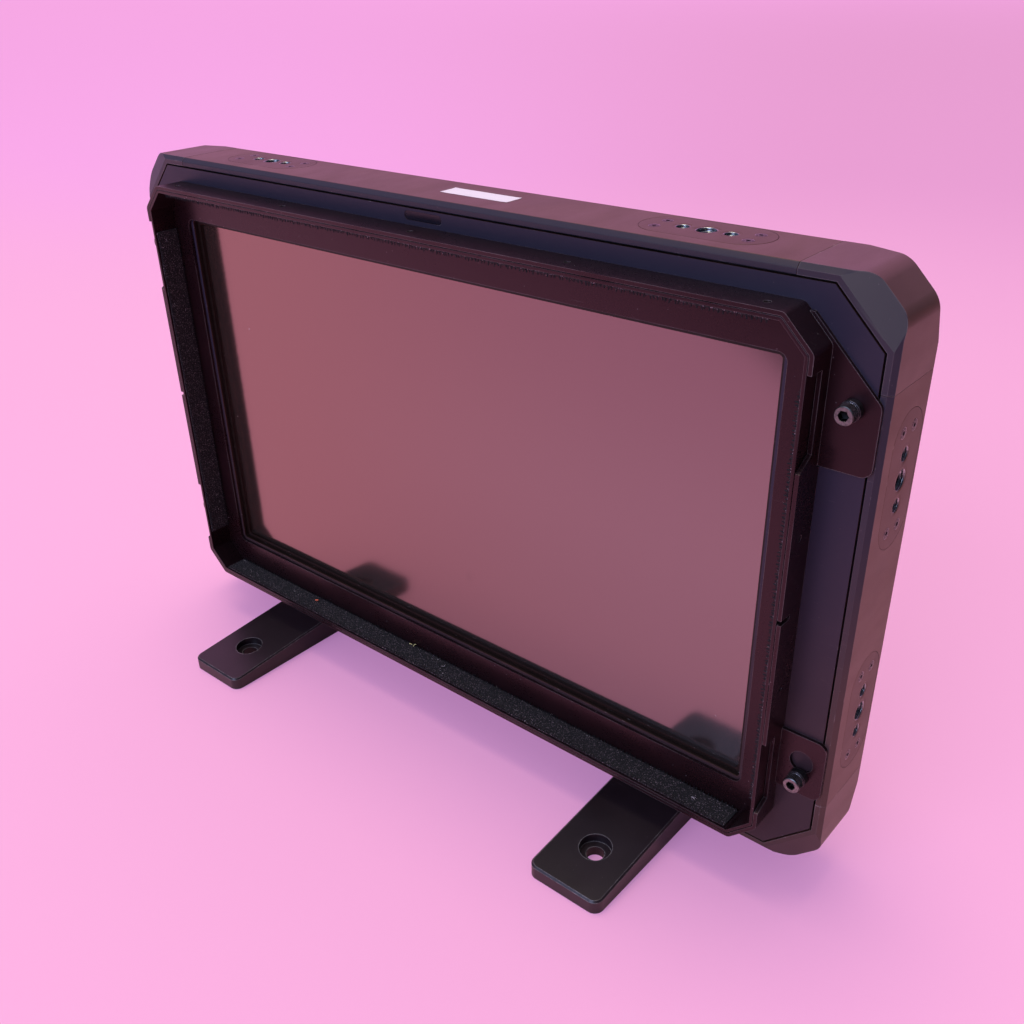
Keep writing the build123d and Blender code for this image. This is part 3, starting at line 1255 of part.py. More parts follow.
def body_parts():
    """Every sub-part that is drawn about the middle of the body."""
    parts = rim_pieces()
    parts.update(inserts())
    parts.update(screen_stack())
    parts.update(audio_bay())
    parts.update(video_bay())
    parts["front_bezel"] = front_bezel()
    parts["sensor_window"] = sensor_window()
    parts["mid_chassis"] = mid_chassis()
    parts["display_cable"] = display_cable()
    parts["main_board"] = board(MAIN_BOARD, MAIN_CHIPS)
    parts["power_board"] = board(POWER_BOARD, POWER_CHIPS)
    parts["heat_sink"] = heat_sink()
    parts["internal_screws"] = internal_screws()
    parts["rear_cover"] = rear_cover()
    parts["rear_hump"] = rear_hump()
    parts["rear_screws"] = rear_screws()
    parts["vesa_plate"] = vesa_plate()
    parts["exhaust_grille"] = exhaust_grille()
    parts["fan_housing"] = fan_housing()
    parts["fan_rotor"] = fan_rotor()
    parts["speaker"] = speaker()
    parts["media_dock"] = media_dock()
    parts["media_caddy"] = media_caddy()
    parts["media_drive"] = media_drive()
    for name, x, radius in button_places():
        parts[name] = push_button(x, radius)
    parts["hood_plate"] = hood_plate()
    parts["hood_inner_frame"] = hood_inner_frame()
    parts["hood_rivets"] = group([rivet for _, rivet in rivets()])
    parts["hook_strips"] = hook_strips()
    parts["hood_collars"] = hood_collars()
    for x, z in hood_screw_places():
        level = "upper" if z > 0 else "lower"
        side = "right" if x > 0 else "left"
        parts[f"hood_screw_{level}_{side}"] = hood_screw(x, z)
    parts["top_label"] = top_label()
    return parts


def main():
    """Write every sub-part as one file in the folder parts."""
    os.makedirs("parts", exist_ok=True)
    for name, shape in body_parts().items():
        export_step(Pos(0, 0, MID_Z) * shape, f"parts/{name}.step")
    bar = foot_bar()
    export_step(Pos(-INSERT_X, 0, 0) * bar, "parts/foot_left.step")
    export_step(Pos(INSERT_X, 0, 0) * bar, "parts/foot_right.step")
    export_step(foot_bolts(), "parts/foot_bolts.step")


main()
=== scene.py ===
import math
import random

import bmesh
import bpy
from bpy.props import FloatProperty, FloatVectorProperty, IntProperty, PointerProperty
from mathutils import Euler, Matrix, Vector, noise


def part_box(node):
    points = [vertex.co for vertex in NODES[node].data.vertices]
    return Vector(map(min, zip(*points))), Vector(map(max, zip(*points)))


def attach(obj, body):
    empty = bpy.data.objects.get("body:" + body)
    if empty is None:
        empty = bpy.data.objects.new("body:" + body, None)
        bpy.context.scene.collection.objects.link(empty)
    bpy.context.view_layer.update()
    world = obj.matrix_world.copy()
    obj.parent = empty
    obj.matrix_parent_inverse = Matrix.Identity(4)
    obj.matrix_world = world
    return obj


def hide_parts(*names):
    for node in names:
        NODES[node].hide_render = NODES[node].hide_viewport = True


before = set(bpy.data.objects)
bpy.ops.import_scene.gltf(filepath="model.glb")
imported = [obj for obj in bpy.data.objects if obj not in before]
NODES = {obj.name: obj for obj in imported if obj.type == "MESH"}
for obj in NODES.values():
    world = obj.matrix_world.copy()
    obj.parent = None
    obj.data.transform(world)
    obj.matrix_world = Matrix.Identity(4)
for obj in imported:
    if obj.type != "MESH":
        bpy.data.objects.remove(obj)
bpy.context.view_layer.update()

bl_info = {
    "name": "Recording monitor",
    "version": (1, 0, 0),
    "blender": (4, 5, 0),
    "location": "3D View > Sidebar > Monitor",
    "description": "Finishes and fine pieces of a recording monitor with a hood frame",
    "category": "Object",
}

FOUND = {}
BODY = "monitor"
MIDDLE = (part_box("front_bezel")[0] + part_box("front_bezel")[1]) / 2
RAILS = ("top_rail", "bottom_rail", "left_rail", "right_rail")
CORNERS = ("corner_top_left", "corner_top_right", "corner_bottom_left", "corner_bottom_right")
HOOD_SCREWS = ("hood_screw_upper_left", "hood_screw_upper_right", "hood_screw_lower_left",
               "hood_screw_lower_right")


# Sizes and colours that a user would change

def tone(name, description, default, top=1):
    """A colour setting."""
    return FloatVectorProperty(name=name, description=description, subtype="COLOR", size=3, min=0, max=top,
                               default=default)


def distance(name, description, low, high, default):
    """A size setting, in metres."""
    return FloatProperty(name=name, description=description, subtype="DISTANCE", unit="LENGTH", min=low,
                         max=high, default=default)


def share(name, description, default):
    """A setting from none, 0, to all, 1."""
    return FloatProperty(name=name, description=description, subtype="FACTOR", min=0, max=1, default=default)


class FinishSettings(bpy.types.PropertyGroup):
    """Colours and wear of the finishes."""

    anodised: tone("Anodised rails", "Colour of the rails and corners", (0.077, 0.035, 0.023))
    corner: tone("Corner castings", "Colour of the four corner castings", (0.064, 0.031, 0.023))
    # The bezel colour goes on the bezel's faces that look to the front: there it is painted shade as well as
    # the panel's own black.
    bezel: tone("Bezel", "Colour of the flat front panel", (0.019, 0.016, 0.032))
    sheet: tone(
        "Sheet metal", "Colour of the coated sheet of hood frame and rear cover", (0.008, 0.0026, 0.0035))
    foot: tone("Foot bars", "Colour of the foot bars", (0.014, 0.008, 0.011))
    steel: tone("Blackened steel", "Colour of the blackened screws", (0.045, 0.040, 0.045))
    # Rim fronts: painted shade, the darker and cooler colour of the rails' and corners' faces that look to the
    # front.
    front: tone(
        "Rim fronts", "Colour of the darker front faces of rails and corners", (0.023, 0.024, 0.042))
    worn: tone("Worn metal", "Bare metal where a coat has rubbed off", (0.50, 0.46, 0.47))
    screen: tone("Screen", "Colour of the screen's satin glass", (0.270, 0.205, 0.190))
    label: tone("Label", "Colour of the blank label", (0.83, 0.69, 0.77))
    edge_wear: share("Edge wear", "How much coat is rubbed off the edges", 0.5)
    dust: share("Dust", "How much dust lies on the pieces", 0.4)


class DetailSettings(bpy.types.PropertyGroup):
    """Sizes of the fine pieces."""

    edge_round: distance("Rounded edges", "Width of the rounding along metal edges", 0.00005, 0.001, 0.0003)
    sheet_round: distance(
        "Rounded sheet edges", "Width of the rounding along sheet metal edges", 0.00005, 0.0008, 0.0002)
    knurl_count: IntProperty(
        name="Knurls", description="Ridges round the head of a hood screw", min=12, max=60, default=36)
    knurl_depth: distance("Knurl depth", "Depth of the ridges on a hood screw", 0, 0.0008, 0.00028)
    large_pitch: distance(
        "Large thread pitch", "Pitch of the middle thread of an insert", 0.0005, 0.003, 0.0015875)
    small_pitch: distance(
        "Small thread pitch", "Pitch of the outer threads of an insert", 0.0005, 0.003, 0.00127)
    hook_pitch: distance("Hook spacing", "Distance between the hooks of the tape", 0.0008, 0.004, 0.0014)
    hook_wire: distance("Hook thickness", "Thickness of one hook of the tape", 0.00005, 0.0004, 0.00026)
    fuzz_count: IntProperty(
        name="Loose threads", description="Loose threads along the edges of the tape",
        min=0, max=4000, default=1500)


class StageSettings(bpy.types.PropertyGroup):
    """Floor, light and camera."""

    floor: tone("Floor", "Colour of the plain floor", (0.98, 0.433, 0.571))
    glow: tone(
        "Shadow tint", "Colour that the camera sees mixed into the floor, most in the shadows",
        (0.86, 0.41, 1.0))
    glow_share: share("Shadow tint share", "How much of the tint is mixed into the floor", 0.28)
    backdrop: tone("Backdrop", "Colour behind the object, also in mirrors", (0.93, 0.39, 0.78))
    room: tone("Room", "Colour that mirrors show of the room in front of the object", (0.16, 0.19, 0.32))
    sky: tone("Sky light", "Colour of the soft light from all sides", (0.87, 0.87, 1.06), 2)
    sky_power: FloatProperty(
        name="Sky power", description="Strength of the soft light from all sides", min=0, max=5, default=0.82)
    lamp_power: FloatProperty(
        name="Lamp power", description="Strength of the large soft lamp overhead", min=0, max=20, default=1.27)
    window_power: FloatProperty(
        name="Window power", description="Watts of the cool soft lamp in front", min=0, max=500, default=76.0)
    window_size: distance("Window size", "Width of the cool soft lamp in front", 0.1, 4, 2.4)
    camera_place: FloatVectorProperty(
        name="Camera place", description="Where the camera stands",
        subtype="TRANSLATION", unit="LENGTH", size=3, default=(0.39126, -0.41301, 0.43819))
    camera_turn: FloatVectorProperty(
        name="Camera turn", description="Azimuth, elevation and roll of the camera",
        subtype="EULER", unit="ROTATION", size=3,
        default=(math.radians(41.1132), math.radians(29.6452), math.radians(-1.5113)))
    lens: FloatProperty(
        name="Focal length", description="Focal length on a 36 mm sensor, in millimetres",
        min=10, max=200, default=37.343)
    shift_x: FloatProperty(name="Shift X", description="Sideways shift of the lens", default=0.0025)
    shift_y: FloatProperty(name="Shift Y", description="Upward shift of the lens", default=0.0280)


# Tints of the gloss: none, warm on the anodised coat, wine red on the hood's coat
CLEAR = (1.0, 1.0, 1.0, 1.0)
WARM = (1.0, 0.75, 0.45, 1.0)
WINE = (1.0, 0.68, 0.76, 1.0)

# The thread sleeves: steel round a thread, the rise from the sleeve's end to just below its plate's face, the
# slant at a thread's mouth, how deep the thread is bright before deeper thread is painted dark as shade, and
# the radius above which it is a large thread
SLEEVE_WALL = 0.001
SLEEVE_RISE = 0.00057
MOUTH_SLANT = 0.0003
BRIGHT_THREAD = 0.0020
LARGE_THREAD = 0.004

# The hook tape: its backing, how far that ends and frays inside the strip's edges, the length of one step of
# it, the margin without hooks at each edge, the share of hooks that are missing, the distance of its edge
# fibres, and the length of the lowest strip, on which the crumbs have their places
BACKING = 0.0006
BACKING_EDGE = 0.0003
FRAY = 0.0004
BACKING_STEP = 0.003
TAPE_EDGE = 0.0004
MISSING_HOOKS = 0.06
EDGE_FIBRES = 0.0021
LOWEST_STRIP = 0.416

# The hood screws: height of the head, radius of the shank, pitch and depth of its thread, and half the width of
# the six sided socket at its mouth and inside
HEAD = 0.0055
SHANK = 0.00245
SHANK_PITCH = 0.0008
SHANK_THREAD = 0.0002
SOCKET_MOUTH = 0.00215
SOCKET = 0.0020

# The rear sockets: how far from its axis a pin, an insulator and a tongue reach, and half a tongue's thickness
PIN_REACH = 0.0060
CORE_REACH = 0.0021
TONGUE_REACH = 0.006
TONGUE_HALF = 0.0009

# The boards' thickness, above which the parts stand, and the conductors of the ribbon, one each millimetre
BOARD = 0.00165
CONDUCTORS = 6283.0

# The label: its gap above the rail, its thickness, and the size of the corners that lift
LABEL_GAP = 0.00004
LABEL_THICKNESS = 0.00005
LABEL_CORNER = 0.003

# The floor: its radius, where it starts and ends to fade into the backdrop, and where mirrors see it end, along
# a slanted line in front and softly at the right
FLOOR_RADIUS = 14.0
FADE_START = 3.5
FADE_END = 13.0
FRONT_SLANT = 0.916
FRONT_END = (-0.551, -0.621)
RIGHT_END = (0.55, 1.0)


# Shader expressions

class Signal:
    """One output of a shader node, for use in plain expressions."""

    def __init__(self, paint, socket):
        self.paint = paint
        self.socket = socket

    def __add__(self, other):
        return self.paint.maths("ADD", self, other)

    def __radd__(self, other):
        return self.paint.maths("ADD", other, self)

    def __sub__(self, other):
        return self.paint.maths("SUBTRACT", self, other)

    def __rsub__(self, other):
        return self.paint.maths("SUBTRACT", other, self)

    def __mul__(self, other):
        return self.paint.maths("MULTIPLY", self, other)

    def __rmul__(self, other):
        return self.paint.maths("MULTIPLY", other, self)

    def __truediv__(self, other):
        return self.paint.maths("DIVIDE", self, other)

    def __pow__(self, other):
        return self.paint.maths("POWER", self, other)

    def __gt__(self, other):
        return self.paint.maths("GREATER_THAN", self, other)


class Paint:
    """The nodes of one material, or of the world, written as expressions."""

    def __init__(self, name, world=False):
        self.material = (bpy.data.worlds if world else bpy.data.materials).new(name)
        self.material.use_nodes = True
        self.tree = self.material.node_tree
        self.tree.nodes.clear()
        self.place = self.node("ShaderNodeTexCoord", output="Generated" if world else "Object")

    def node(self, kind, settings=None, inputs=None, output=0):
        """Add a node: its settings first, then the values or links of its sockets."""
        made = self.tree.nodes.new(kind)
        for key, value in (settings or {}).items():
            setattr(made, key, value)
        for key, value in (inputs or {}).items():
            if isinstance(value, Signal):
                self.tree.links.new(value.socket, made.inputs[key])
            else:
                made.inputs[key].default_value = value
        return Signal(self, made.outputs[output]) if made.outputs else None

    def maths(self, operation, *values):
        """One Math node on numbers or signals."""
        return self.node("ShaderNodeMath", {"operation": operation}, dict(enumerate(values)))

    def most(self, *values):
        """The larger of two numbers or signals."""
        return self.maths("MAXIMUM", *values)

    def mix(self, mask, low, high):
        """A colour between two colours."""
        settings = {"data_type": "RGBA", "clamp_factor": True}
        colours = [c if isinstance(c, Signal) else (*c, 1.0) for c in (low, high)]
        return self.node("ShaderNodeMix", settings, {0: mask, 6: colours[0], 7: colours[1]}, 2)

    def vary(self, mask, colour, low, high):
        """Shades of one colour, from a darker to a lighter one."""
        return self.mix(mask, shade(colour, low), shade(colour, high))

    def ease(self, value, low, high, start=0.0, end=1.0):
        """Turn low to high into start to end, smoothly, and hold it outside."""
        return self.node("ShaderNodeMapRange", {"interpolation_type": "SMOOTHSTEP"},
                         {"Value": value, "From Min": low, "From Max": high, "To Min": start, "To Max": end})

    def stretched(self, scale, turn=(0, 0, 0)):
        """The place on the piece, turned and stretched."""
        return self.node("ShaderNodeMapping", None, {"Vector": self.place, "Rotation": turn, "Scale": scale})

    def cloud(self, scale, detail=2.0, rough=0.5, place=None, distort=0.0):
        """Soft noise from 0 to 1."""
        inputs = {"Vector": place or self.place, "Scale": scale, "Detail": detail,
                  "Roughness": rough, "Distortion": distort}
        return self.node("ShaderNodeTexNoise", None, inputs)

    def cells(self, scale, feature="F1", output="Distance", place=None):
        """Distance to the points or edges of cells."""
        return self.node("ShaderNodeTexVoronoi", {"feature": feature},
                         {"Vector": place or self.place, "Scale": scale}, output)

    def parts(self, vector):
        """The three numbers of a vector."""
        first = self.node("ShaderNodeSeparateXYZ", None, {0: vector})
        outputs = first.socket.node.outputs
        return [Signal(self, outputs[i]) for i in range(3)]

    def edges(self, radius):
        """1 on sharp outer and inner edges, 0 on flat faces."""
        bevel = self.node("ShaderNodeBevel", {"samples": 6}, {"Radius": radius})
        both = {0: bevel, 1: self.normal()}
        flat = self.node("ShaderNodeVectorMath", {"operation": "DOT_PRODUCT"}, both, "Value")
        return self.ease(1.0 - flat, 0.004, 0.10)

    def normal(self):
        """Where the surface looks to."""
        return self.node("ShaderNodeNewGeometry", output="Normal")

    def upward(self):
        """1 on faces that look up, 0 on upright faces and below."""
        return self.ease(self.parts(self.normal())[2], 0.35, 0.95)

    def painted_front_shade(self):
        """Painted shade: 1 on faces that look to the front, less near the floor, 0 on the others."""
        height = self.ease(self.parts(self.place)[2], 0.06, 0.24, 0.45, 1.0)
        return self.ease(0.0 - self.parts(self.normal())[1], 0.30, 0.65) * height

    def scratches(self, scale, amount, turn):
        """Thin long marks, more of them in some places than in others."""
        place = self.stretched((scale * 0.05, scale, scale), turn)
        lines = self.cloud(1.0, 2.0, 0.55, place, 0.15)
        patches = self.cloud(24.0, 2.0)
        return self.ease(lines, 0.70, 0.76) * self.ease(patches, 0.62 - amount * 0.3, 0.80 - amount * 0.3)

    def specks(self, scale, size, rarity):
        """Small separate dots."""
        spots = self.cells(scale)
        chance = self.node("ShaderNodeTexWhiteNoise", {"noise_dimensions": "3D"},
                           {"Vector": self.cells(scale, output="Position")}, "Value")
        return self.ease(spots, size, size * 0.4, 0.0, 1.0) * (chance > rarity)

    def bump(self, height, strength, distance=0.0002):
        """A Bump node for the Normal socket."""
        return self.node("ShaderNodeBump", None, {"Strength": strength, "Distance": distance, "Height": height})

    def finish(self, base, rough, **sockets):
        """Close the material with one Principled shader, and give the material back."""
        inputs = {"Base Color": base, "Roughness": rough}
        for key, value in sockets.items():
            inputs[key.replace("_", " ").title().replace("Ior", "IOR")] = value
        shader = self.node("ShaderNodeBsdfPrincipled", None, inputs)
        self.node("ShaderNodeOutputMaterial", None, {"Surface": shader})
        return self.material

    def ray(self, kind):
        """1 for rays of one kind, such as camera rays."""
        return self.node("ShaderNodeLightPath", output=kind)


def shade(colour, factor):
    """A colour made darker or lighter."""
    return tuple(min(1.0, c * factor) for c in colour)


def tinted(colour, factors):
    """A colour with each of its three parts made darker or lighter."""
    return tuple(min(1.0, c * factor) for c, factor in zip(colour, factors))


def coat_of(finish, factor=1.0):
    """Edge wear, worn metal and dust of a coat."""
    return min(1.0, finish.edge_wear * factor), finish.worn, finish.dust


# Finishes

def coated_metal(name, colour, roughness, wear, worn, dust, front=None, metallic=0.0, specular=0.5,
                 patch=0.25, edge_radius=0.0006, line=0.0, tint=CLEAR, deep=None):
    """Coated or anodised metal with grain, rubbed patches, scratches, worn edges and dust.

    front colours the faces that look to the front as painted shade, less near the floor, line paints a
    highlight along every edge, and deep paints shade on what lies behind that depth, as in a recess.
    """
    paint = Paint(name)
    fine = paint.cloud(2600.0, 2.0, 0.6)
    broad = paint.cloud(16.0, 4.0, 0.6)
    smear = paint.cloud(70.0, 3.0, 0.6, paint.stretched((1.0, 0.35, 1.0), (0.3, 0.2, 0.5)))
    marks = paint.most(paint.scratches(900.0, 0.4, (0.4, 0.9, 0.3)),
                       paint.scratches(1400.0, 0.32, (1.9, 0.2, 1.2)))
    rub = paint.edges(edge_radius) * paint.ease(paint.cloud(180.0, 3.0, 0.65), 0.70 - 0.28 * wear, 0.78)
    base = paint.vary(paint.ease(broad, 0.35, 0.68), colour, 1 - patch, 1 + patch)
    # Painted shade: faces that look to the front take the front colour, less of it near the floor.
    if front:
        base = paint.mix(paint.painted_front_shade(), base, front)
    # Painted shade on what lies behind the given depth, in the recess.
    if deep is not None:
        depth = paint.parts(paint.place)[1]
        base = paint.mix(paint.ease(depth, deep, deep + 0.0005), base, shade(colour, 0.2))
    base = paint.mix(marks * 0.18, base, shade(worn, 0.5))
    # Painted highlight: every edge is lightened towards worn metal.
    if line:
        base = paint.mix(paint.edges(edge_radius) * line, base, shade(worn, 0.8))
    base = paint.mix(rub * 0.8, base, worn)
    powder = paint.ease(paint.cloud(900.0, 3.0, 0.7), 0.58, 0.80) * paint.upward() * dust
    specks = paint.specks(420.0, 0.10, 0.90) * dust
    base = paint.mix(powder * 0.07, base, (0.45, 0.34, 0.36))
    base = paint.mix(specks * 0.40, base, (0.52, 0.44, 0.46))
    rough = roughness + (fine - 0.5) * 0.10 + (smear - 0.5) * 0.16 - rub * 0.12 + powder * 0.25
    normal = paint.bump(fine + marks * -0.8, 0.16, 0.00006)
    return paint.finish(base, rough, metallic=paint.most(rub * 0.8, metallic),
                        specular_ior_level=specular, specular_tint=tint, normal=normal)


def powder_coat(name, colour, roughness, wear, worn, dust, specular=0.5, tint=CLEAR):
    """Thick matt coat with a faint orange peel, scuffs, chipped edges and a painted highlight along the edges.
    """
    paint = Paint(name)
    peel = paint.cloud(1100.0, 2.0, 0.5)
    fine = paint.cloud(4200.0, 1.0)
    broad = paint.cloud(20.0, 4.0, 0.6)
    scuffs = paint.most(paint.scratches(700.0, 0.55, (0.8, 0.3, 0.5)),
                        paint.scratches(1200.0, 0.4, (0.1, 1.4, 2.1)))
    edge = paint.edges(0.0005)
    chip = edge * paint.ease(paint.cloud(150.0, 4.0, 0.7), 0.74 - 0.24 * wear, 0.78)
    base = paint.vary(paint.ease(broad, 0.35, 0.68), colour, 0.85, 1.15)
    base = paint.mix(scuffs * 0.12, base, shade(worn, 0.40))
    # Painted highlight: a lighter line along the edges, in broad patches.
    base = paint.mix(edge * paint.ease(broad, 0.30, 0.62) * 0.4, base, shade(worn, 0.5))
    base = paint.mix(chip * 0.7, base, worn)
    powder = paint.ease(paint.cloud(1300.0, 3.0, 0.75), 0.56, 0.78) * paint.upward() * dust
    specks = paint.specks(360.0, 0.11, 0.86) * dust
    base = paint.mix(powder * 0.25, base, (0.50, 0.40, 0.45))
    base = paint.mix(specks * 0.6, base, (0.62, 0.54, 0.57))
    rough = roughness + (peel - 0.5) * 0.10 + (broad - 0.5) * 0.10 + powder * 0.3 - scuffs * 0.1
    normal = paint.bump(peel + fine * 0.4 - chip * 1.5, 0.14, 0.00005)
    return paint.finish(base, rough, metallic=chip * 0.8,
                        specular_ior_level=specular, specular_tint=tint, normal=normal)


def blackened_steel(name, colour, worn, wear=0.7, roughness=0.36):
    """Oxide black steel, polished bright where tools and hands rub it."""
    paint = Paint(name)
    fine = paint.cloud(3000.0, 3.0, 0.6)
    broad = paint.cloud(300.0, 4.0, 0.65)
    rub = paint.edges(0.0006) * paint.ease(paint.cloud(700.0, 3.0, 0.65), 0.62 - 0.42 * wear, 0.66)
    base = paint.vary(paint.ease(broad, 0.3, 0.7), colour, 0.7, 1.6)
    base = paint.mix(rub, base, worn)
    rough = roughness + (fine - 0.5) * 0.16 + (broad - 0.5) * 0.15 - rub * 0.1
    return paint.finish(base, rough, metallic=0.75 + rub * 0.25,
                        normal=paint.bump(fine, 0.2, 0.00004))


def plain_steel(name, colour, roughness=0.24):
    """Bare steel with turning marks and grey film in the valleys."""
    paint = Paint(name)
    fine = paint.cloud(5200.0, 2.0, 0.6)
    film = paint.cloud(900.0, 3.0, 0.6)
    base = paint.vary(paint.ease(film, 0.35, 0.75), colour, 1.0, 0.45)
    rough = roughness + (fine - 0.5) * 0.12 + paint.ease(film, 0.4, 0.8) * 0.15
    return paint.finish(base, rough, metallic=1.0, normal=paint.bump(fine, 0.15, 0.00003))


def bare_aluminium(name, colour):
    """Mill finish aluminium with rolling lines."""
    paint = Paint(name)
    lines = paint.cloud(1.0, 3.0, 0.6, paint.stretched((40.0, 2600.0, 2600.0)))
    spots = paint.cloud(120.0, 3.0)
    base = paint.vary(paint.ease(spots, 0.3, 0.7), colour, 0.82, 1.05)
    rough = 0.34 + (lines - 0.5) * 0.2 + (spots - 0.5) * 0.1
    return paint.finish(base, rough, metallic=1.0, normal=paint.bump(lines, 0.12, 0.00003))


def satin_screen(name, colour):
    """Anti glare glass over a dark panel, with finger marks, specks of dust and a painted reflection across it.
    """
    paint = Paint(name)
    fine = paint.cloud(6000.0, 2.0)
    smear = paint.cloud(14.0, 4.0, 0.62, None, 0.6)
    wipe = paint.cloud(1.0, 3.0, 0.55, paint.stretched((26.0, 60.0, 7.0), (0.0, 0.6, 0.0)))
    dots = paint.specks(120.0, 0.07, 0.95)
    grit = paint.specks(480.0, 0.12, 0.985)
    across, _, height = paint.parts(paint.place)
    # Painted reflection: the glass is warmer at the left, cooler low at the right and darker high at the right.
    right = paint.mix(paint.ease(height, 0.16, 0.30), tinted(colour, (0.99, 1.10, 1.17)),
                      tinted(colour, (0.79, 0.78, 0.87)))
    base = paint.vary(paint.ease(smear, 0.3, 0.7), colour, 0.98, 1.02)
    tint = paint.mix(paint.ease(across, -0.20, 0.20), tinted(colour, (1.04, 0.94, 0.87)), right)
    base = paint.mix(0.9, base, tint)
    smudge = paint.specks(22.0, 0.09, 0.90) * paint.ease(paint.cloud(60.0, 2.0), 0.3, 0.6)
    base = paint.mix(smudge * 0.35, base, shade(colour, 0.5))
    base = paint.mix(dots * 0.55, base, (0.70, 0.60, 0.64))
    base = paint.mix(grit * 0.35, base, (0.62, 0.52, 0.56))
    rough = 0.105 + (smear - 0.5) * 0.03 + (wipe - 0.5) * 0.03 + (fine - 0.5) * 0.02 + dots * 0.4
    return paint.finish(base, rough, metallic=0.94 - dots * 0.8,
                        normal=paint.bump(fine, 0.02, 0.00001))


def smooth_window(name, colour):
    """A smoked window with light smears."""
    paint = Paint(name)
    smear = paint.cloud(160.0, 3.0)
    base = paint.vary(smear, colour, 0.8, 1.4)
    return paint.finish(base, 0.14 + smear * 0.12, specular_ior_level=0.45)


def moulded_plastic(name, colour, roughness):
    """Moulded plastic with a fine spark texture."""
    paint = Paint(name)
    spark = paint.cloud(1700.0, 3.0, 0.65)
    broad = paint.cloud(45.0, 3.0)
    rub = paint.edges(0.0006) * paint.ease(paint.cloud(300.0, 3.0), 0.45, 0.7)
    base = paint.vary(paint.ease(broad, 0.3, 0.7), colour, 0.85, 1.15)
    base = paint.mix(rub * 0.4, base, shade(colour, 2.6))
    rough = roughness + (spark - 0.5) * 0.16 + (broad - 0.5) * 0.12 - rub * 0.1
    return paint.finish(base, rough, normal=paint.bump(spark, 0.25, 0.00006))


def foam_rubber(name, colour):
    """Open black foam."""
    paint = Paint(name)
    pores = paint.cells(2200.0)
    base = paint.vary(pores, colour, 0.5, 1.4)
    return paint.finish(base, 0.85 + pores * 0.1, normal=paint.bump(pores, 0.5, 0.0001))


def tape_fibre(name, colour):
    """Woven black nylon: twill rows, light loops that catch the lamp, and a little grey lint."""
    paint = Paint(name)
    rows = paint.cloud(1.0, 1.0, 0.5, paint.stretched((700.0, 1500.0, 700.0)))
    loops = paint.cells(1150.0)
    light = paint.ease(loops, 0.42, 0.12) * paint.ease(rows, 0.42, 0.60)
    lint = paint.ease(paint.cloud(220.0, 4.0, 0.7), 0.62, 0.78)
    base = paint.vary(light, colour, 0.5, 24.0)
    base = paint.mix(lint * 0.25, base, (0.20, 0.16, 0.18))
    return paint.finish(base, 0.55 + loops * 0.3, sheen_weight=0.1,
                        normal=paint.bump(light, 0.6, 0.0002))


def circuit_board(name, colour):
    """Green board with copper tracks under the lacquer and small pads."""
    paint = Paint(name)
    tracks = paint.cells(150.0, "DISTANCE_TO_EDGE", place=paint.stretched((1.0, 0.02, 2.2)))
    line = paint.ease(tracks, 0.075, 0.05)
    pads = paint.specks(300.0, 0.22, 0.80)
    broad = paint.cloud(60.0, 2.0)
    base = paint.vary(broad, colour, 0.8, 1.2)
    base = paint.mix(line * 0.6, base, shade(colour, 2.1))
    base = paint.mix(pads, base, (0.62, 0.55, 0.36))
    rough = 0.32 + broad * 0.12 - pads * 0.1
    return paint.finish(base, rough, metallic=pads * 0.9,
                        normal=paint.bump(line + pads, 0.3, 0.00006))


def ribbon_cable(name, colour):
    """Amber ribbon with copper conductors that show through."""
    paint = Paint(name)
    across = paint.parts(paint.place)[0]
    wires = paint.ease(paint.maths("SINE", across * CONDUCTORS), -0.2, 0.5)
    broad = paint.cloud(90.0, 2.0)
    base = paint.mix(wires, colour, shade(colour, 0.55))
    base = paint.mix(broad * 0.3, base, shade(colour, 0.8))
    return paint.finish(base, 0.28 + broad * 0.15, normal=paint.bump(wires, 0.3, 0.00008))


def chip_resin(name):
    """Black resin of the larger components."""
    paint = Paint(name)
    grain = paint.cloud(2600.0, 2.0)
    base = paint.mix(grain, (0.010, 0.010, 0.011), (0.028, 0.028, 0.030))
    return paint.finish(base, 0.42 + grain * 0.2, normal=paint.bump(grain, 0.25, 0.00005))


def label_paper(name, colour):
    """White label film, a little grey in patches and with small creases."""
    paint = Paint(name)
    fibre = paint.cloud(1500.0, 3.0, 0.6)
    stain = paint.cloud(130.0, 4.0, 0.65)
    crease = paint.scratches(420.0, 0.9, (0.0, 0.0, 0.6))
    base = paint.mix(paint.ease(stain, 0.45, 0.80), colour, shade(colour, 0.92))
    base = paint.mix(crease * 0.35, base, shade(colour, 0.6))
    return paint.finish(base, 0.6 + fibre * 0.25, specular_ior_level=0.03,
                        normal=paint.bump(fibre + crease, 0.25, 0.00008))


def lint_fibre(name, colour):
    """A loose coloured fibre or crumb."""
    paint = Paint(name)
    vary = paint.cloud(2500.0, 2.0)
    base = paint.vary(vary, colour, 0.7, 1.25)
    return paint.finish(base, 0.7 + vary * 0.2)


# Mesh helpers

def add_object(name, data):
    """Put a mesh, lamp or camera in the scene."""
    made = bpy.data.objects.new(name, data)
    bpy.context.scene.collection.objects.link(made)
    return made


def add_piece(name, mesh, materials, body, stands_for=()):
    """Put a mesh in the scene as a piece that rides on a body."""
    piece = add_object(name, mesh)
    for material in materials:
        piece.data.materials.append(material)
    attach(piece, body)
    if stands_for:
        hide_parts(*stands_for)
    return piece


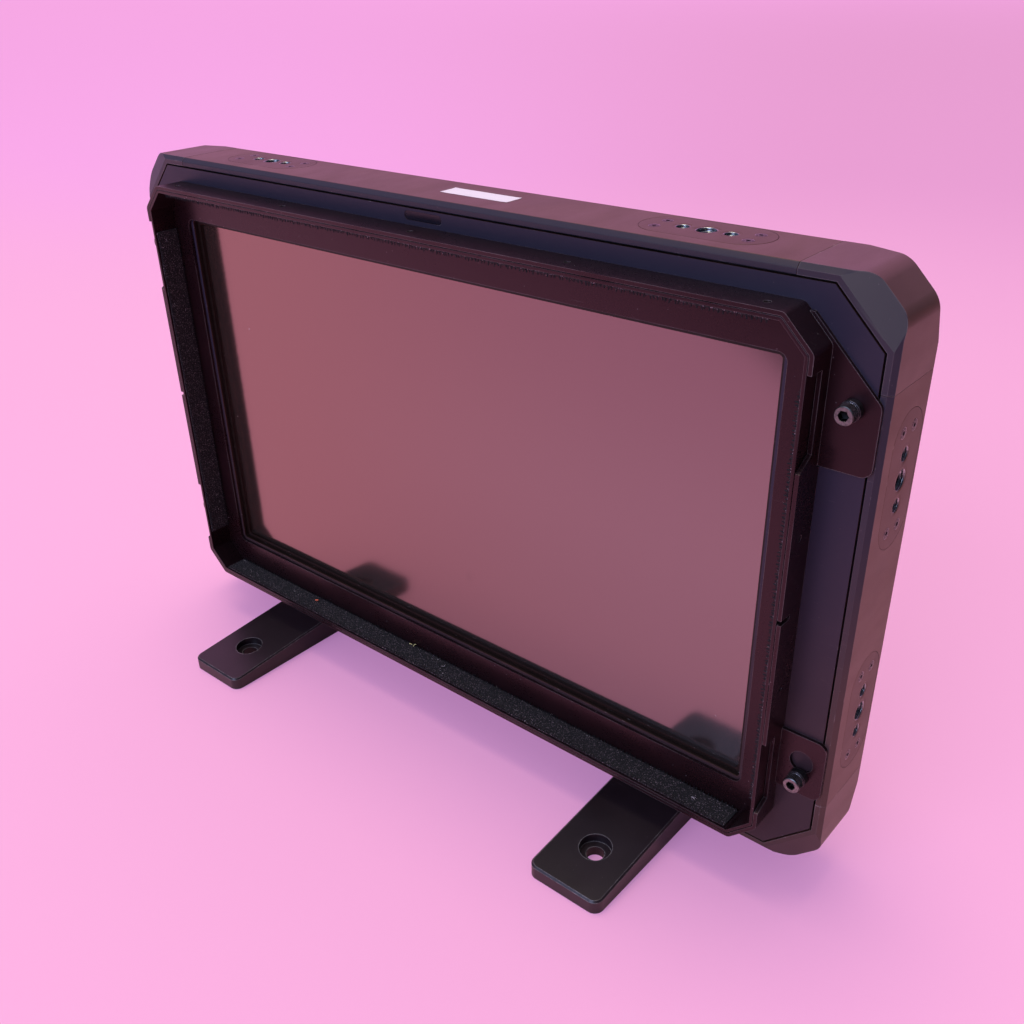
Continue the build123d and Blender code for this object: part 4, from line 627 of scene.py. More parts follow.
def new_mesh(name, build, smooth_angle=35.0):
    """A mesh from a function that fills a bmesh, smooth up to an angle."""
    mesh = bpy.data.meshes.new(name)
    bm = bmesh.new()
    build(bm)
    bmesh.ops.recalc_face_normals(bm, faces=bm.faces)
    limit = math.radians(smooth_angle)
    for face in bm.faces:
        face.smooth = True
    for edge in bm.edges:
        edge.smooth = len(edge.link_faces) == 2 and edge.calc_face_angle(0.0) < limit
    bm.to_mesh(mesh)
    bm.free()
    return mesh


def loft(bm, rings, close_start=True, close_end=True, matrix=None, material=0):
    """Skin a row of rings with equal numbers of points."""
    matrix = matrix or Matrix.Identity(4)
    rows = [[bm.verts.new(matrix @ Vector(point)) for point in ring] for ring in rings]
    count = len(rows[0])
    for first, second in zip(rows, rows[1:]):
        for i in range(count):
            j = (i + 1) % count
            bm.faces.new((first[i], first[j], second[j], second[i])).material_index = material
    if close_start:
        bm.faces.new(rows[0][::-1]).material_index = material
    if close_end:
        bm.faces.new(rows[-1]).material_index = material
    return rows


def ring(radius, z, count):
    """Points round the Z axis at a height. The radius is a number, or a function of index and angle."""
    row = []
    for i in range(count):
        angle = 2 * math.pi * i / count
        r = radius(i, angle) if callable(radius) else radius
        row.append((r * math.cos(angle), r * math.sin(angle), z))
    return row


def strand(bm, points, radius, sides=3, material=0):
    """A thin tube along a few points."""
    rows = []
    for i, point in enumerate(points):
        ahead = points[min(i + 1, len(points) - 1)]
        behind = points[max(i - 1, 0)]
        turn = (ahead - behind).to_track_quat("Z", "Y").to_matrix().to_4x4()
        place = Matrix.Translation(point) @ turn
        rows.append([place @ Vector(p) for p in ring(radius, 0.0, sides)])
    loft(bm, rows, material=material)


def islands(name):
    """The box of each separate solid of a CAD node, as lowest and highest corners."""
    if name in FOUND:
        return FOUND[name]
    mesh = NODES[name].data
    parent = {}

    def root(key):
        while parent[key] != key:
            parent[key] = parent[parent[key]]
            key = parent[key]
        return key

    keys = [tuple(round(c * 1e5) for c in vertex.co) for vertex in mesh.vertices]
    for key in keys:
        parent.setdefault(key, key)
    for polygon in mesh.polygons:
        first = root(keys[polygon.vertices[0]])
        for index in polygon.vertices[1:]:
            parent[root(keys[index])] = first
    boxes = {}
    for vertex, key in zip(mesh.vertices, keys):
        low, high = boxes.setdefault(root(key), (vertex.co.copy(), vertex.co.copy()))
        for axis in range(3):
            low[axis] = min(low[axis], vertex.co[axis])
            high[axis] = max(high[axis], vertex.co[axis])
    FOUND[name] = sorted(boxes.values(), key=lambda box: tuple(round(c, 4) for c in box[0]))
    return FOUND[name]


def soften(piece, width):
    """Give the sharp edges of a piece a small rounding."""
    weld = piece.modifiers.new("weld", "WELD")
    weld.merge_threshold = 0.000002
    bevel = piece.modifiers.new("rounded_edges", "BEVEL")
    bevel.width = width
    bevel.segments = 2
    bevel.limit_method = "ANGLE"
    bevel.angle_limit = math.radians(35)
    bevel.use_clamp_overlap = True
    bevel.miter_outer = "MITER_ARC"
    normals = piece.modifiers.new("even_normals", "WEIGHTED_NORMAL")
    normals.weight = 80


def dress(names, material, edge=0.0):
    """Give CAD nodes their finish and, where asked, rounded edges."""
    for name in names:
        piece = NODES[name]
        piece.material_slots[0].material = material
        if edge > 0:
            soften(piece, edge)


def two_tone(name, second, test, materials, body=BODY):
    """Stand in for a CAD node with its own shape, in two finishes."""
    mesh = NODES[name].data.copy()
    mesh.materials.clear()
    for polygon in mesh.polygons:
        polygon.material_index = 1 if test(polygon.center, polygon.normal) else 0
    return add_piece(f"{name}_{second}", mesh, materials, body, (name,))


def settings():
    """The three groups of settings."""
    scene = bpy.context.scene
    return scene.monitor_finish, scene.monitor_detail, scene.monitor_stage


# Operators, one for each group of pieces

class MONITOR_OT_rim(bpy.types.Operator):
    """Finish the four rails and the four corner castings"""

    bl_idname = "monitor.rim"
    bl_label = "Rim"

    def execute(self, context):
        finish, detail, _ = settings()
        # The rails and corners get painted shade on their front faces and a painted highlight along their
        # edges.
        rail = coated_metal("anodised_rail", finish.anodised, 0.40, *coat_of(finish), finish.front,
                            specular=0.40, patch=0.12, line=0.05, tint=WARM)
        corner = coated_metal("anodised_corner", finish.corner, 0.36, *coat_of(finish), finish.front,
                              specular=0.46, patch=0.12, edge_radius=0.0007, line=0.14, tint=WARM)
        dress(RAILS, rail, detail.edge_round)
        dress(CORNERS, corner, detail.edge_round)
        return {"FINISHED"}


class MONITOR_OT_bezel(bpy.types.Operator):
    """Finish the front panel and the sensor's window"""

    bl_idname = "monitor.bezel"
    bl_label = "Bezel"

    def execute(self, context):
        finish, detail, _ = settings()
        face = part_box("front_bezel")[0].y
        # The bezel colour is painted shade on the faces that look to the front, and the faces behind the front
        # face are painted dark as recess shade.
        front = coated_metal("satin_bezel", shade(finish.anodised, 0.55), 0.40, *coat_of(finish, 0.6),
                             finish.bezel, specular=0.32, deep=face + 0.0005)
        dress(["front_bezel"], front, detail.edge_round)
        dress(["sensor_window"], smooth_window("smoked_window", (0.004, 0.004, 0.009)), detail.sheet_round)
        return {"FINISHED"}


class MONITOR_OT_screen(bpy.types.Operator):
    """Finish the glass, and make the foam gasket behind it"""

    bl_idname = "monitor.screen"
    bl_label = "Screen"

    def execute(self, context):
        finish, detail, _ = settings()
        dress(["screen_glass"], satin_screen("satin_screen", finish.screen))
        dress(["lcd_panel"], moulded_plastic("panel_film", (0.012, 0.012, 0.014), 0.2))
        dress(["backlight_unit"], moulded_plastic("white_housing", (0.70, 0.70, 0.69), 0.5), detail.edge_round)
        self.gasket()
        return {"FINISHED"}

    def gasket(self):
        """A soft ring of foam with a rounded section."""
        low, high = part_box("glass_gasket")
        middle = (low + high) / 2
        half_w = (high.x - low.x) / 2
        half_h = (high.z - low.z) / 2
        thick = (high.y - low.y) / 2
        width = 0.0025
        corner = 0.006

        def squarish(value):
            return math.copysign(abs(value) ** 0.5, value)

        def build(bm):
            rows = []
            for k, (sx, sz) in enumerate(((1, 1), (-1, 1), (-1, -1), (1, -1))):
                for step in range(9):
                    angle = math.radians(90 * k + 11.25 * step)
                    row = []
                    for i in range(12):
                        turn = 2 * math.pi * i / 12
                        across = corner - width + width * squarish(math.cos(turn))
                        row.append((middle.x + sx * (half_w - corner) + math.cos(angle) * across,
                                    middle.y + thick * squarish(math.sin(turn)) * 0.98,
                                    middle.z + sz * (half_h - corner) + math.sin(angle) * across))
                    rows.append(row)
            loft(bm, rows + [rows[0]], False, False)
            bmesh.ops.remove_doubles(bm, verts=bm.verts, dist=1e-6)

        mesh = new_mesh("glass_gasket_foam", build, 60)
        add_piece("glass_gasket_foam", mesh, [foam_rubber("black_foam", (0.016, 0.016, 0.017))], BODY,
                  ("glass_gasket",))


class MONITOR_OT_inserts(bpy.types.Operator):
    """Finish the insert plates and screws, and cut real threads in the sleeves"""

    bl_idname = "monitor.inserts"
    bl_label = "Inserts"

    def execute(self, context):
        finish, detail, _ = settings()
        plate = coated_metal("insert_plate", shade(finish.anodised, 0.92), 0.38, *coat_of(finish),
                             specular=0.24, patch=0.12, tint=WARM)
        dress(["insert_plates"], plate, detail.sheet_round)
        screw = blackened_steel("insert_screw", (0.020, 0.015, 0.015), shade(finish.worn, 0.7), 0.8)
        dress(["insert_screws"], screw, detail.sheet_round)
        self.threads(detail, plate)
        return {"FINISHED"}

    def threads(self, detail, plate):
        """All sleeves, each flush with its plate, with a lead-in and a turning thread ridge."""
        sleeves = []
        for low, high in islands("thread_sleeves"):
            size = high - low
            middle = (low + high) / 2
            axis = 2 if abs(size.x - size.y) < abs(size.z - size.y) else 0
            direction = Vector((0, 0, 0))
            direction[axis] = math.copysign(1.0, middle[axis] - MIDDLE[axis])
            sleeves.append((middle, direction, size[axis], size.y / 2))

        def build(bm):
            count = 36
            for middle, direction, length, outer in sleeves:
                major = outer - SLEEVE_WALL
                pitch = detail.large_pitch if major > LARGE_THREAD else detail.small_pitch
                face = length / 2 + SLEEVE_RISE
                mouth = face - MOUTH_SLANT
                deep = mouth + length / 2
                rows = [ring(outer, -length / 2, count), ring(outer, length / 2, count),
                        ring(outer + SLEEVE_RISE, face, count), ring(major + MOUTH_SLANT, face, count)]
                steps = int(deep / pitch * 6)
                for step in range(steps + 1):
                    z = mouth - step * deep / steps
                    ridge = pitch * 0.5 * min(1.0, (mouth - z) / pitch)

                    def flank(i, _):
                        return major - ridge * (1 - abs(2 * ((z / pitch + i / count) % 1.0) - 1))

                    rows.append(ring(flank, z, count))
                known = len(bm.faces)
                turn = direction.to_track_quat("Z", "Y").to_matrix().to_4x4()
                loft(bm, rows + [rows[0]], False, False, Matrix.Translation(middle) @ turn)
                bm.faces.ensure_lookup_table()
                for patch in bm.faces[known:]:
                    height = (patch.calc_center_median() - middle).dot(direction)
                    # Thread deeper than BRIGHT_THREAD gets the dark steel, painted shade inside the bore.
                    patch.material_index = 2 if height > face - 1e-6 else int(height < mouth - BRIGHT_THREAD)
            bmesh.ops.remove_doubles(bm, verts=bm.verts, dist=1e-7)

        mesh = new_mesh("thread_sleeves_cut", build, 50)
        # The second steel is dark: painted shade deep in the bore.
        metals = [plain_steel("thread_steel", (0.34, 0.38, 0.38), 0.25),
                  plain_steel("painted_shade_thread", (0.05, 0.05, 0.06), 0.35), plate]
        add_piece("thread_sleeves_cut", mesh, metals, BODY, ("thread_sleeves",))


class MONITOR_OT_hood_frame(bpy.types.Operator):
    """Finish the folded hood plate, its inner ring, the rivets and the collars"""

    bl_idname = "monitor.hood_frame"
    bl_label = "Hood frame"

    def execute(self, context):
        finish, detail, _ = settings()
        sheet = powder_coat("hood_sheet", finish.sheet, 0.29, *coat_of(finish), 0.44, WINE)
        dress(["hood_plate", "hood_inner_frame"], sheet, detail.sheet_round)
        dress(["hood_rivets"], blackened_steel("rivet_metal", finish.steel, finish.worn, 0.3, 0.45),
              detail.sheet_round)
        dress(["hood_collars"], blackened_steel("collar_metal", shade(finish.steel, 0.6), finish.worn, 0.6),
              detail.edge_round)
        return {"FINISHED"}


class MONITOR_OT_hook_strips(bpy.types.Operator):
    """Make the hook tape on the inner faces of the hood frame"""

    bl_idname = "monitor.hook_strips"
    bl_label = "Hook strips"

    def execute(self, context):
        _, detail, _ = settings()
        boxes = islands("hook_strips")
        tape = tape_fibre("hook_tape", (0.012, 0.0085, 0.010))
        mesh = new_mesh("hook_tape", lambda bm: self.tape(bm, boxes, detail), 50)
        dark = lint_fibre("tape_edge", (0.006, 0.004, 0.006))
        add_piece("hook_tape", mesh, [tape, dark], BODY, ("hook_strips",))
        lint = [lint_fibre("orange_lint", (0.75, 0.16, 0.08)), lint_fibre("pale_lint", (0.55, 0.48, 0.50)),
                lint_fibre("straw_lint", (0.62, 0.55, 0.25))]
        mesh = new_mesh("tape_lint", lambda bm: self.lint(bm, boxes), 80)
        add_piece("tape_lint", mesh, lint, BODY)
        return {"FINISHED"}

    def frame_of(self, box):
        """Start corner, direction along the strip, across it and out of it, and the sizes."""
        low, high = box
        size = high - low
        middle = (low + high) / 2
        along = 0 if size.x > size.z else 2
        out = 2 - along
        inward = -math.copysign(1.0, middle[out] - MIDDLE[out])
        base = middle.copy()
        base[out] -= inward * size[out] / 2
        base[along] -= size[along] / 2
        base.y = low.y
        a = Vector((0, 0, 0))
        a[along] = 1
        n = Vector((0, 0, 0))
        n[out] = inward
        return base, a, Vector((0, 1, 0)), n, size[along], size.y, size[out]

    def tape(self, bm, boxes, detail):
        """Backing with uneven edges, rows of hooks and loose threads."""
        draw = random.Random(11)
        for box in boxes:
            base, a, b, n, length, width, thick = self.frame_of(box)
            steps = int(length / BACKING_STEP)
            rows = []
            for i in range(steps + 1):
                s = length * i / steps
                start = BACKING_EDGE + FRAY * noise.noise(Vector((s * 260, base.x * 9, base.z * 9)))
                end = width - BACKING_EDGE + FRAY * noise.noise(Vector((s * 230, 7.0, base.z * 9)))
                lift = 0.00010 * noise.noise(Vector((s * 60, 3.0, base.z * 9)))
                corners = [(start, 0.0), (end, 0.0), (end, BACKING + lift), (start, BACKING + lift)]
                rows.append([base + a * s + b * u + n * w for u, w in corners])
            loft(bm, rows)
            columns = int((width - 2 * TAPE_EDGE) / detail.hook_pitch)
            for i in range(int(length / detail.hook_pitch)):
                for j in range(columns):
                    s = (i + 0.5 + draw.uniform(-0.2, 0.2)) * detail.hook_pitch
                    u = TAPE_EDGE + (j + 0.5 + draw.uniform(-0.2, 0.2)) * (width - 2 * TAPE_EDGE) / columns
                    if draw.random() < MISSING_HOOKS:
                        continue
                    self.hook(bm, base + a * s + b * u + n * BACKING, a, b, n, thick - BACKING, detail, draw)
            for i in range(int(length / EDGE_FIBRES)):
                for u in (TAPE_EDGE, width - TAPE_EDGE):
                    s = min(max((i + draw.uniform(0.3, 0.7)) * EDGE_FIBRES, 0.001), length - 0.001)
                    root = base + a * s + b * u + n * (BACKING * 0.5)
                    reach = thick + draw.uniform(-0.0007, 0.0001)
                    tip = root + n * reach + a * draw.uniform(-0.0006, 0.0006)
                    strand(bm, [root, tip], draw.uniform(0.00025, 0.00042), 4, 1)
        for _ in range(detail.fuzz_count):
            base, a, b, n, length, width, thick = self.frame_of(draw.choice(boxes))
            s = draw.uniform(0.002, length - 0.002)
            edge = draw.random() < 0.8
            u = draw.choice((TAPE_EDGE, width - TAPE_EDGE)) if edge else draw.uniform(0, width)
            lean = -1 if u < width / 2 else 1
            start = base + a * s + b * u + n * draw.uniform(0.0002, 0.0008)
            reach = draw.uniform(0.0005, 0.0015)
            side = b * (lean * reach * draw.uniform(0.0, 0.5)) + a * (reach * draw.uniform(-0.8, 0.8))
            tip = start + side + n * min(reach, thick)
            bend = (start + tip) / 2 + a * draw.uniform(-0.0004, 0.0004)
            strand(bm, [start, bend, tip], 0.00006, 3, 1)

    def hook(self, bm, foot, a, b, n, height, detail, draw):
        """One bent hook, which leans along or against the tape."""
        lean = draw.choice((-1, 1)) * draw.uniform(0.7, 1.0)
        tall = height * draw.uniform(0.75, 1.0)
        side = b * draw.uniform(-0.2, 0.2) * height
        reach = a * (lean * height * 0.55)
        points = [foot, foot + n * tall + reach * 0.4 + side * 0.5, foot + n * (tall * 0.72) + reach + side]
        strand(bm, points, detail.hook_wire / 2)

    def lint(self, bm, boxes):
        """A few loose fibres and crumbs that the hooks have caught."""
        draw = random.Random(29)

        def fibre(start, bends, slack, radius, sides, material):
            """One fibre that wanders along, across and off the tape."""
            points = [start]
            for _ in range(bends):
                step = a * draw.uniform(-slack[0], slack[0]) + b * draw.uniform(-slack[1], slack[1])
                points.append(points[-1] + step + n * draw.uniform(slack[2], slack[3]))
            strand(bm, points, radius, sides, material)

        base, a, b, n, length, width, thick = self.frame_of(min(boxes, key=lambda box: box[1].z))
        radii = (0.00050, 0.00010, 0.00030)
        crumbs = ((0.088, 0.64, 0), (0.0885, 0.68, 0), (0.176, 0.85, 2), (0.180, 0.85, 2), (0.395, 0.4, 1),
                  (0.21, 0.7, 1))
        for s, part, material in crumbs:
            start = base + a * (length * s / LOWEST_STRIP) + b * (width * part) + n * thick
            fibre(start, 5, (0.0012, 0.0008, -0.0002, 0.0003), radii[material], 5, material)
        for box in boxes:
            base, a, b, n, length, width, thick = self.frame_of(box)
            for _ in range(14):
                start = base + a * draw.uniform(0.005, length - 0.005) + b * draw.uniform(0, width) + n * thick
                fibre(start, 4, (0.0010, 0.0006, -0.0001, 0.0002), 0.00005, 3, 1)


class MONITOR_OT_hood_screws(bpy.types.Operator):
    """Make the four knurled screws that hold the hood frame"""

    bl_idname = "monitor.hood_screws"
    bl_label = "Hood screws"

    def execute(self, context):
        finish, detail, _ = settings()
        metals = [blackened_steel("hood_screw_steel", shade(finish.steel, 0.4), finish.worn, 0.8, 0.30),
                  plain_steel("rubbed_rim", (0.27, 0.28, 0.27), 0.30),
                  blackened_steel("socket_steel", (0.004, 0.004, 0.004), (0.03, 0.03, 0.03), 0.2, 0.5)]
        for name in HOOD_SCREWS:
            mesh = new_mesh(name + "_knurled", lambda bm, name=name: self.screw(bm, name, detail), 30)
            add_piece(name + "_knurled", mesh, metals, name, (name,))
        return {"FINISHED"}

    def screw(self, bm, name, detail):
        """A round head with ridges and a six sided socket, on a threaded shank."""
        low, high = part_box(name)
        radius = (high.x - low.x) / 2
        centre = (low + high) / 2
        matrix = Matrix.Translation((centre.x, low.y + HEAD, centre.z)) @ Matrix.Rotation(math.pi / 2, 4, "X")
        length = high.y - low.y - HEAD

        def knurled(i, _):
            return radius - detail.knurl_depth * (0.5 - 0.5 * math.cos(2 * math.pi * (i % 4) / 4))

        def hexagon(size):
            return lambda _, angle: size / math.cos(angle % (math.pi / 3) - math.pi / 6)

        profile = [(SHANK, -length)]
        for step in range(int((length - 0.001) / SHANK_PITCH * 4)):
            groove = SHANK_THREAD if step % 4 in (1, 2) else 0.0
            profile.append((SHANK - groove, -length + 0.0002 + step * SHANK_PITCH / 4))
        profile += [(SHANK, -0.0006), (SHANK, 0.0), (radius - 0.0004, 0.0), (radius - 0.00012, 0.00012),
                    (radius - 0.00006, 0.0005), (knurled, 0.0006), (knurled, HEAD - 0.0010),
                    (radius - 0.00006, HEAD - 0.0008), (radius - 0.00015, HEAD - 0.0003),
                    (radius - 0.0005, HEAD), (hexagon(SOCKET_MOUTH), HEAD), (hexagon(SOCKET), HEAD - 0.0002),
                    (hexagon(SOCKET), HEAD - 0.0029), (0.0008, HEAD - 0.0034)]
        loft(bm, [ring(r, z, detail.knurl_count * 4) for r, z in profile], matrix=matrix)
        back = matrix.inverted()
        for face in bm.faces:
            place = back @ face.calc_center_median()
            out = math.hypot(place.x, place.y)
            if place.z > HEAD - 0.0004 and out > 0.0024:
                face.material_index = 1
            elif place.z > HEAD - 0.0036 and out < 0.0022:
                face.material_index = 2


class MONITOR_OT_feet(bpy.types.Operator):
    """Finish the two foot bars and their bolts"""

    bl_idname = "monitor.feet"
    bl_label = "Foot bars"

    def execute(self, context):
        finish, detail, _ = settings()
        # The foot bars get a painted highlight along their edges.
        metal = coated_metal("satin_foot", finish.foot, 0.34, *coat_of(finish, 2), edge_radius=0.0009,
                             line=0.25)
        dress(["foot_left", "foot_right"], metal, detail.edge_round)
        dress(["foot_bolts"], blackened_steel("foot_bolt_steel", finish.steel, finish.worn, 0.4),
              detail.sheet_round)
        return {"FINISHED"}


class MONITOR_OT_rear(bpy.types.Operator):
    """Finish the rear cover, its hump, the bracket plate, the grille and the screws"""

    bl_idname = "monitor.rear"
    bl_label = "Rear"

    def execute(self, context):
        finish, detail, _ = settings()
        sheet = powder_coat("rear_sheet", shade(finish.sheet, 1.3), 0.48, *coat_of(finish))
        dress(["rear_hump", "exhaust_grille", "audio_panel", "video_panel"], sheet, detail.sheet_round)
        dress(["rear_cover"], sheet)
        dress(["vesa_plate"], blackened_steel("bracket_steel", finish.steel, finish.worn, 0.4, 0.42),
              detail.edge_round)
        dress(["rear_screws"], blackened_steel("rear_screw_steel", finish.steel, finish.worn),
              detail.sheet_round)
        return {"FINISHED"}


class MONITOR_OT_sockets(bpy.types.Operator):
    """Finish the sockets in the two bays, with bright pins and contacts"""

    bl_idname = "monitor.sockets"
    bl_label = "Sockets"

    def execute(self, context):
        black = moulded_plastic("socket_shell", (0.014, 0.014, 0.016), 0.34)
        nickel = plain_steel("socket_nickel", (0.66, 0.64, 0.60), 0.2)
        insulator = moulded_plastic("white_insulator", (0.66, 0.65, 0.62), 0.4)
        for name in ("xlr_outputs", "power_inlet"):
            two_tone(name, "with_pins", self.in_bore, [black, nickel])
        dress(["xlr_inputs"], black, 0.0002)
        two_tone("bnc_sockets", "with_core", self.in_core, [nickel, insulator])
        two_tone("hdmi_sockets", "with_tongue", self.in_shell, [nickel, black])
        tab = moulded_plastic("latch_tab", (0.22, 0.22, 0.23), 0.3)
        dress(["xlr_latch_upper", "xlr_latch_lower"], tab, 0.00015)
        dress(["headphone_jack"], nickel, 0.0001)
        return {"FINISHED"}

    def in_bore(self, centre, normal):
        """True on a pin that stands in a round bore."""
        return self.from_axis(("xlr_outputs", "power_inlet"), centre) < PIN_REACH and abs(normal.x) < 0.98

    def in_core(self, centre, normal):
        """True on the insulator inside a bayonet socket."""
        return self.from_axis(("bnc_sockets",), centre) < CORE_REACH

    def in_shell(self, centre, normal):
        """True on the tongue inside a flat socket."""
        low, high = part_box("hdmi_sockets")
        middle_y = (low.y + high.y) / 2
        reach = min(abs(centre.z - (box[0].z + box[1].z) / 2) for box in islands("hdmi_sockets"))
        return abs(centre.y - middle_y) < TONGUE_HALF and reach < TONGUE_REACH

    def from_axis(self, names, point):
        """Distance of a point from the nearest socket's axis."""
        middles = [(low + high) / 2 for name in names for low, high in islands(name)]
        return min(math.hypot(point.y - middle.y, point.z - middle.z) for middle in middles)


class MONITOR_OT_drive(bpy.types.Operator):
    """Finish the drive, its caddy and dock, and the two push buttons"""

    bl_idname = "monitor.drive"
    bl_label = "Drive and buttons"

    def execute(self, context):
        _, detail, _ = settings()
        plastic = moulded_plastic("caddy_plastic", (0.017, 0.017, 0.019), 0.44)
        dress(["media_dock", "media_caddy"], plastic, detail.sheet_round)
        case = coated_metal("drive_case", (0.16, 0.17, 0.19), 0.34, 0.3, (0.6, 0.6, 0.62), 0.1, metallic=0.6)
        dress(["media_drive"], case, detail.sheet_round)
        dress(["power_button", "eject_button"], moulded_plastic("button_plastic", (0.030, 0.029, 0.032), 0.36))
        return {"FINISHED"}


class MONITOR_OT_fan(bpy.types.Operator):
    """Finish the fan and the loudspeaker"""

    bl_idname = "monitor.fan"
    bl_label = "Fan and loudspeaker"

    def execute(self, context):
        _, detail, _ = settings()
        dress(["fan_housing"], moulded_plastic("fan_plastic", (0.014, 0.014, 0.015), 0.4), detail.sheet_round)
        dress(["fan_rotor"], moulded_plastic("rotor_plastic", (0.020, 0.020, 0.022), 0.33))
        dress(["speaker"], moulded_plastic("speaker_case", (0.020, 0.020, 0.021), 0.55), detail.edge_round)
        return {"FINISHED"}


class MONITOR_OT_insides(bpy.types.Operator):
    """Finish the chassis, the boards, the heat sink, the cable and the inner screws"""

    bl_idname = "monitor.insides"
    bl_label = "Insides"

    def execute(self, context):
        _, detail, _ = settings()
        metal = bare_aluminium("mill_aluminium", (0.60, 0.60, 0.61))
        dress(["mid_chassis", "heat_sink"], metal, 0.0002)
        board = circuit_board("green_board", (0.012, 0.085, 0.035))
        resin = chip_resin("chip_resin")
        for name in ("main_board", "power_board"):
            low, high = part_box(name)
            back = low.y + BOARD
            two_tone(name, "populated", lambda centre, normal, back=back: centre.y > back, [board, resin])
        dress(["display_cable"], ribbon_cable("ribbon_cable", (0.46, 0.26, 0.06)))
        dress(["internal_screws"], plain_steel("screw_steel", (0.55, 0.54, 0.52)))
        return {"FINISHED"}


class MONITOR_OT_label(bpy.types.Operator):
    """Make the blank label on the top rail"""

    bl_idname = "monitor.label"
    bl_label = "Blank label"

    def execute(self, context):
        finish, _, _ = settings()
        low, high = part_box("top_label")
        size = high - low
        columns, rows = 36, 12

        def build(bm):
            grid = []
            for j in range(rows + 1):
                for i in range(columns + 1):
                    u, v = i / columns, j / rows
                    edge = min(u, 1 - u) * size.x, min(v, 1 - v) * size.y
                    corner = max(0.0, 1 - edge[0] / LABEL_CORNER) * max(0.0, 1 - edge[1] / LABEL_CORNER)
                    lift = LABEL_GAP + 0.00010 * corner + 0.00003 * noise.noise(Vector((u * 9, v * 3, 0)))
                    place = (low.x + u * size.x, low.y + v * size.y, low.z + LABEL_GAP + lift)
                    grid.append(bm.verts.new(place))
            for j in range(rows):
                for i in range(columns):
                    a = j * (columns + 1) + i
                    bm.faces.new((grid[a], grid[a + 1], grid[a + columns + 2], grid[a + columns + 1]))
            lower = bmesh.ops.extrude_face_region(bm, geom=bm.faces[:])["geom"]
            for vertex in lower:
                if isinstance(vertex, bmesh.types.BMVert):
                    vertex.co.z -= LABEL_THICKNESS

        mesh = new_mesh("blank_label", build, 40)
        add_piece("blank_label", mesh, [label_paper("label_paper", finish.label)], BODY,
                  ("top_label",))
        return {"FINISHED"}


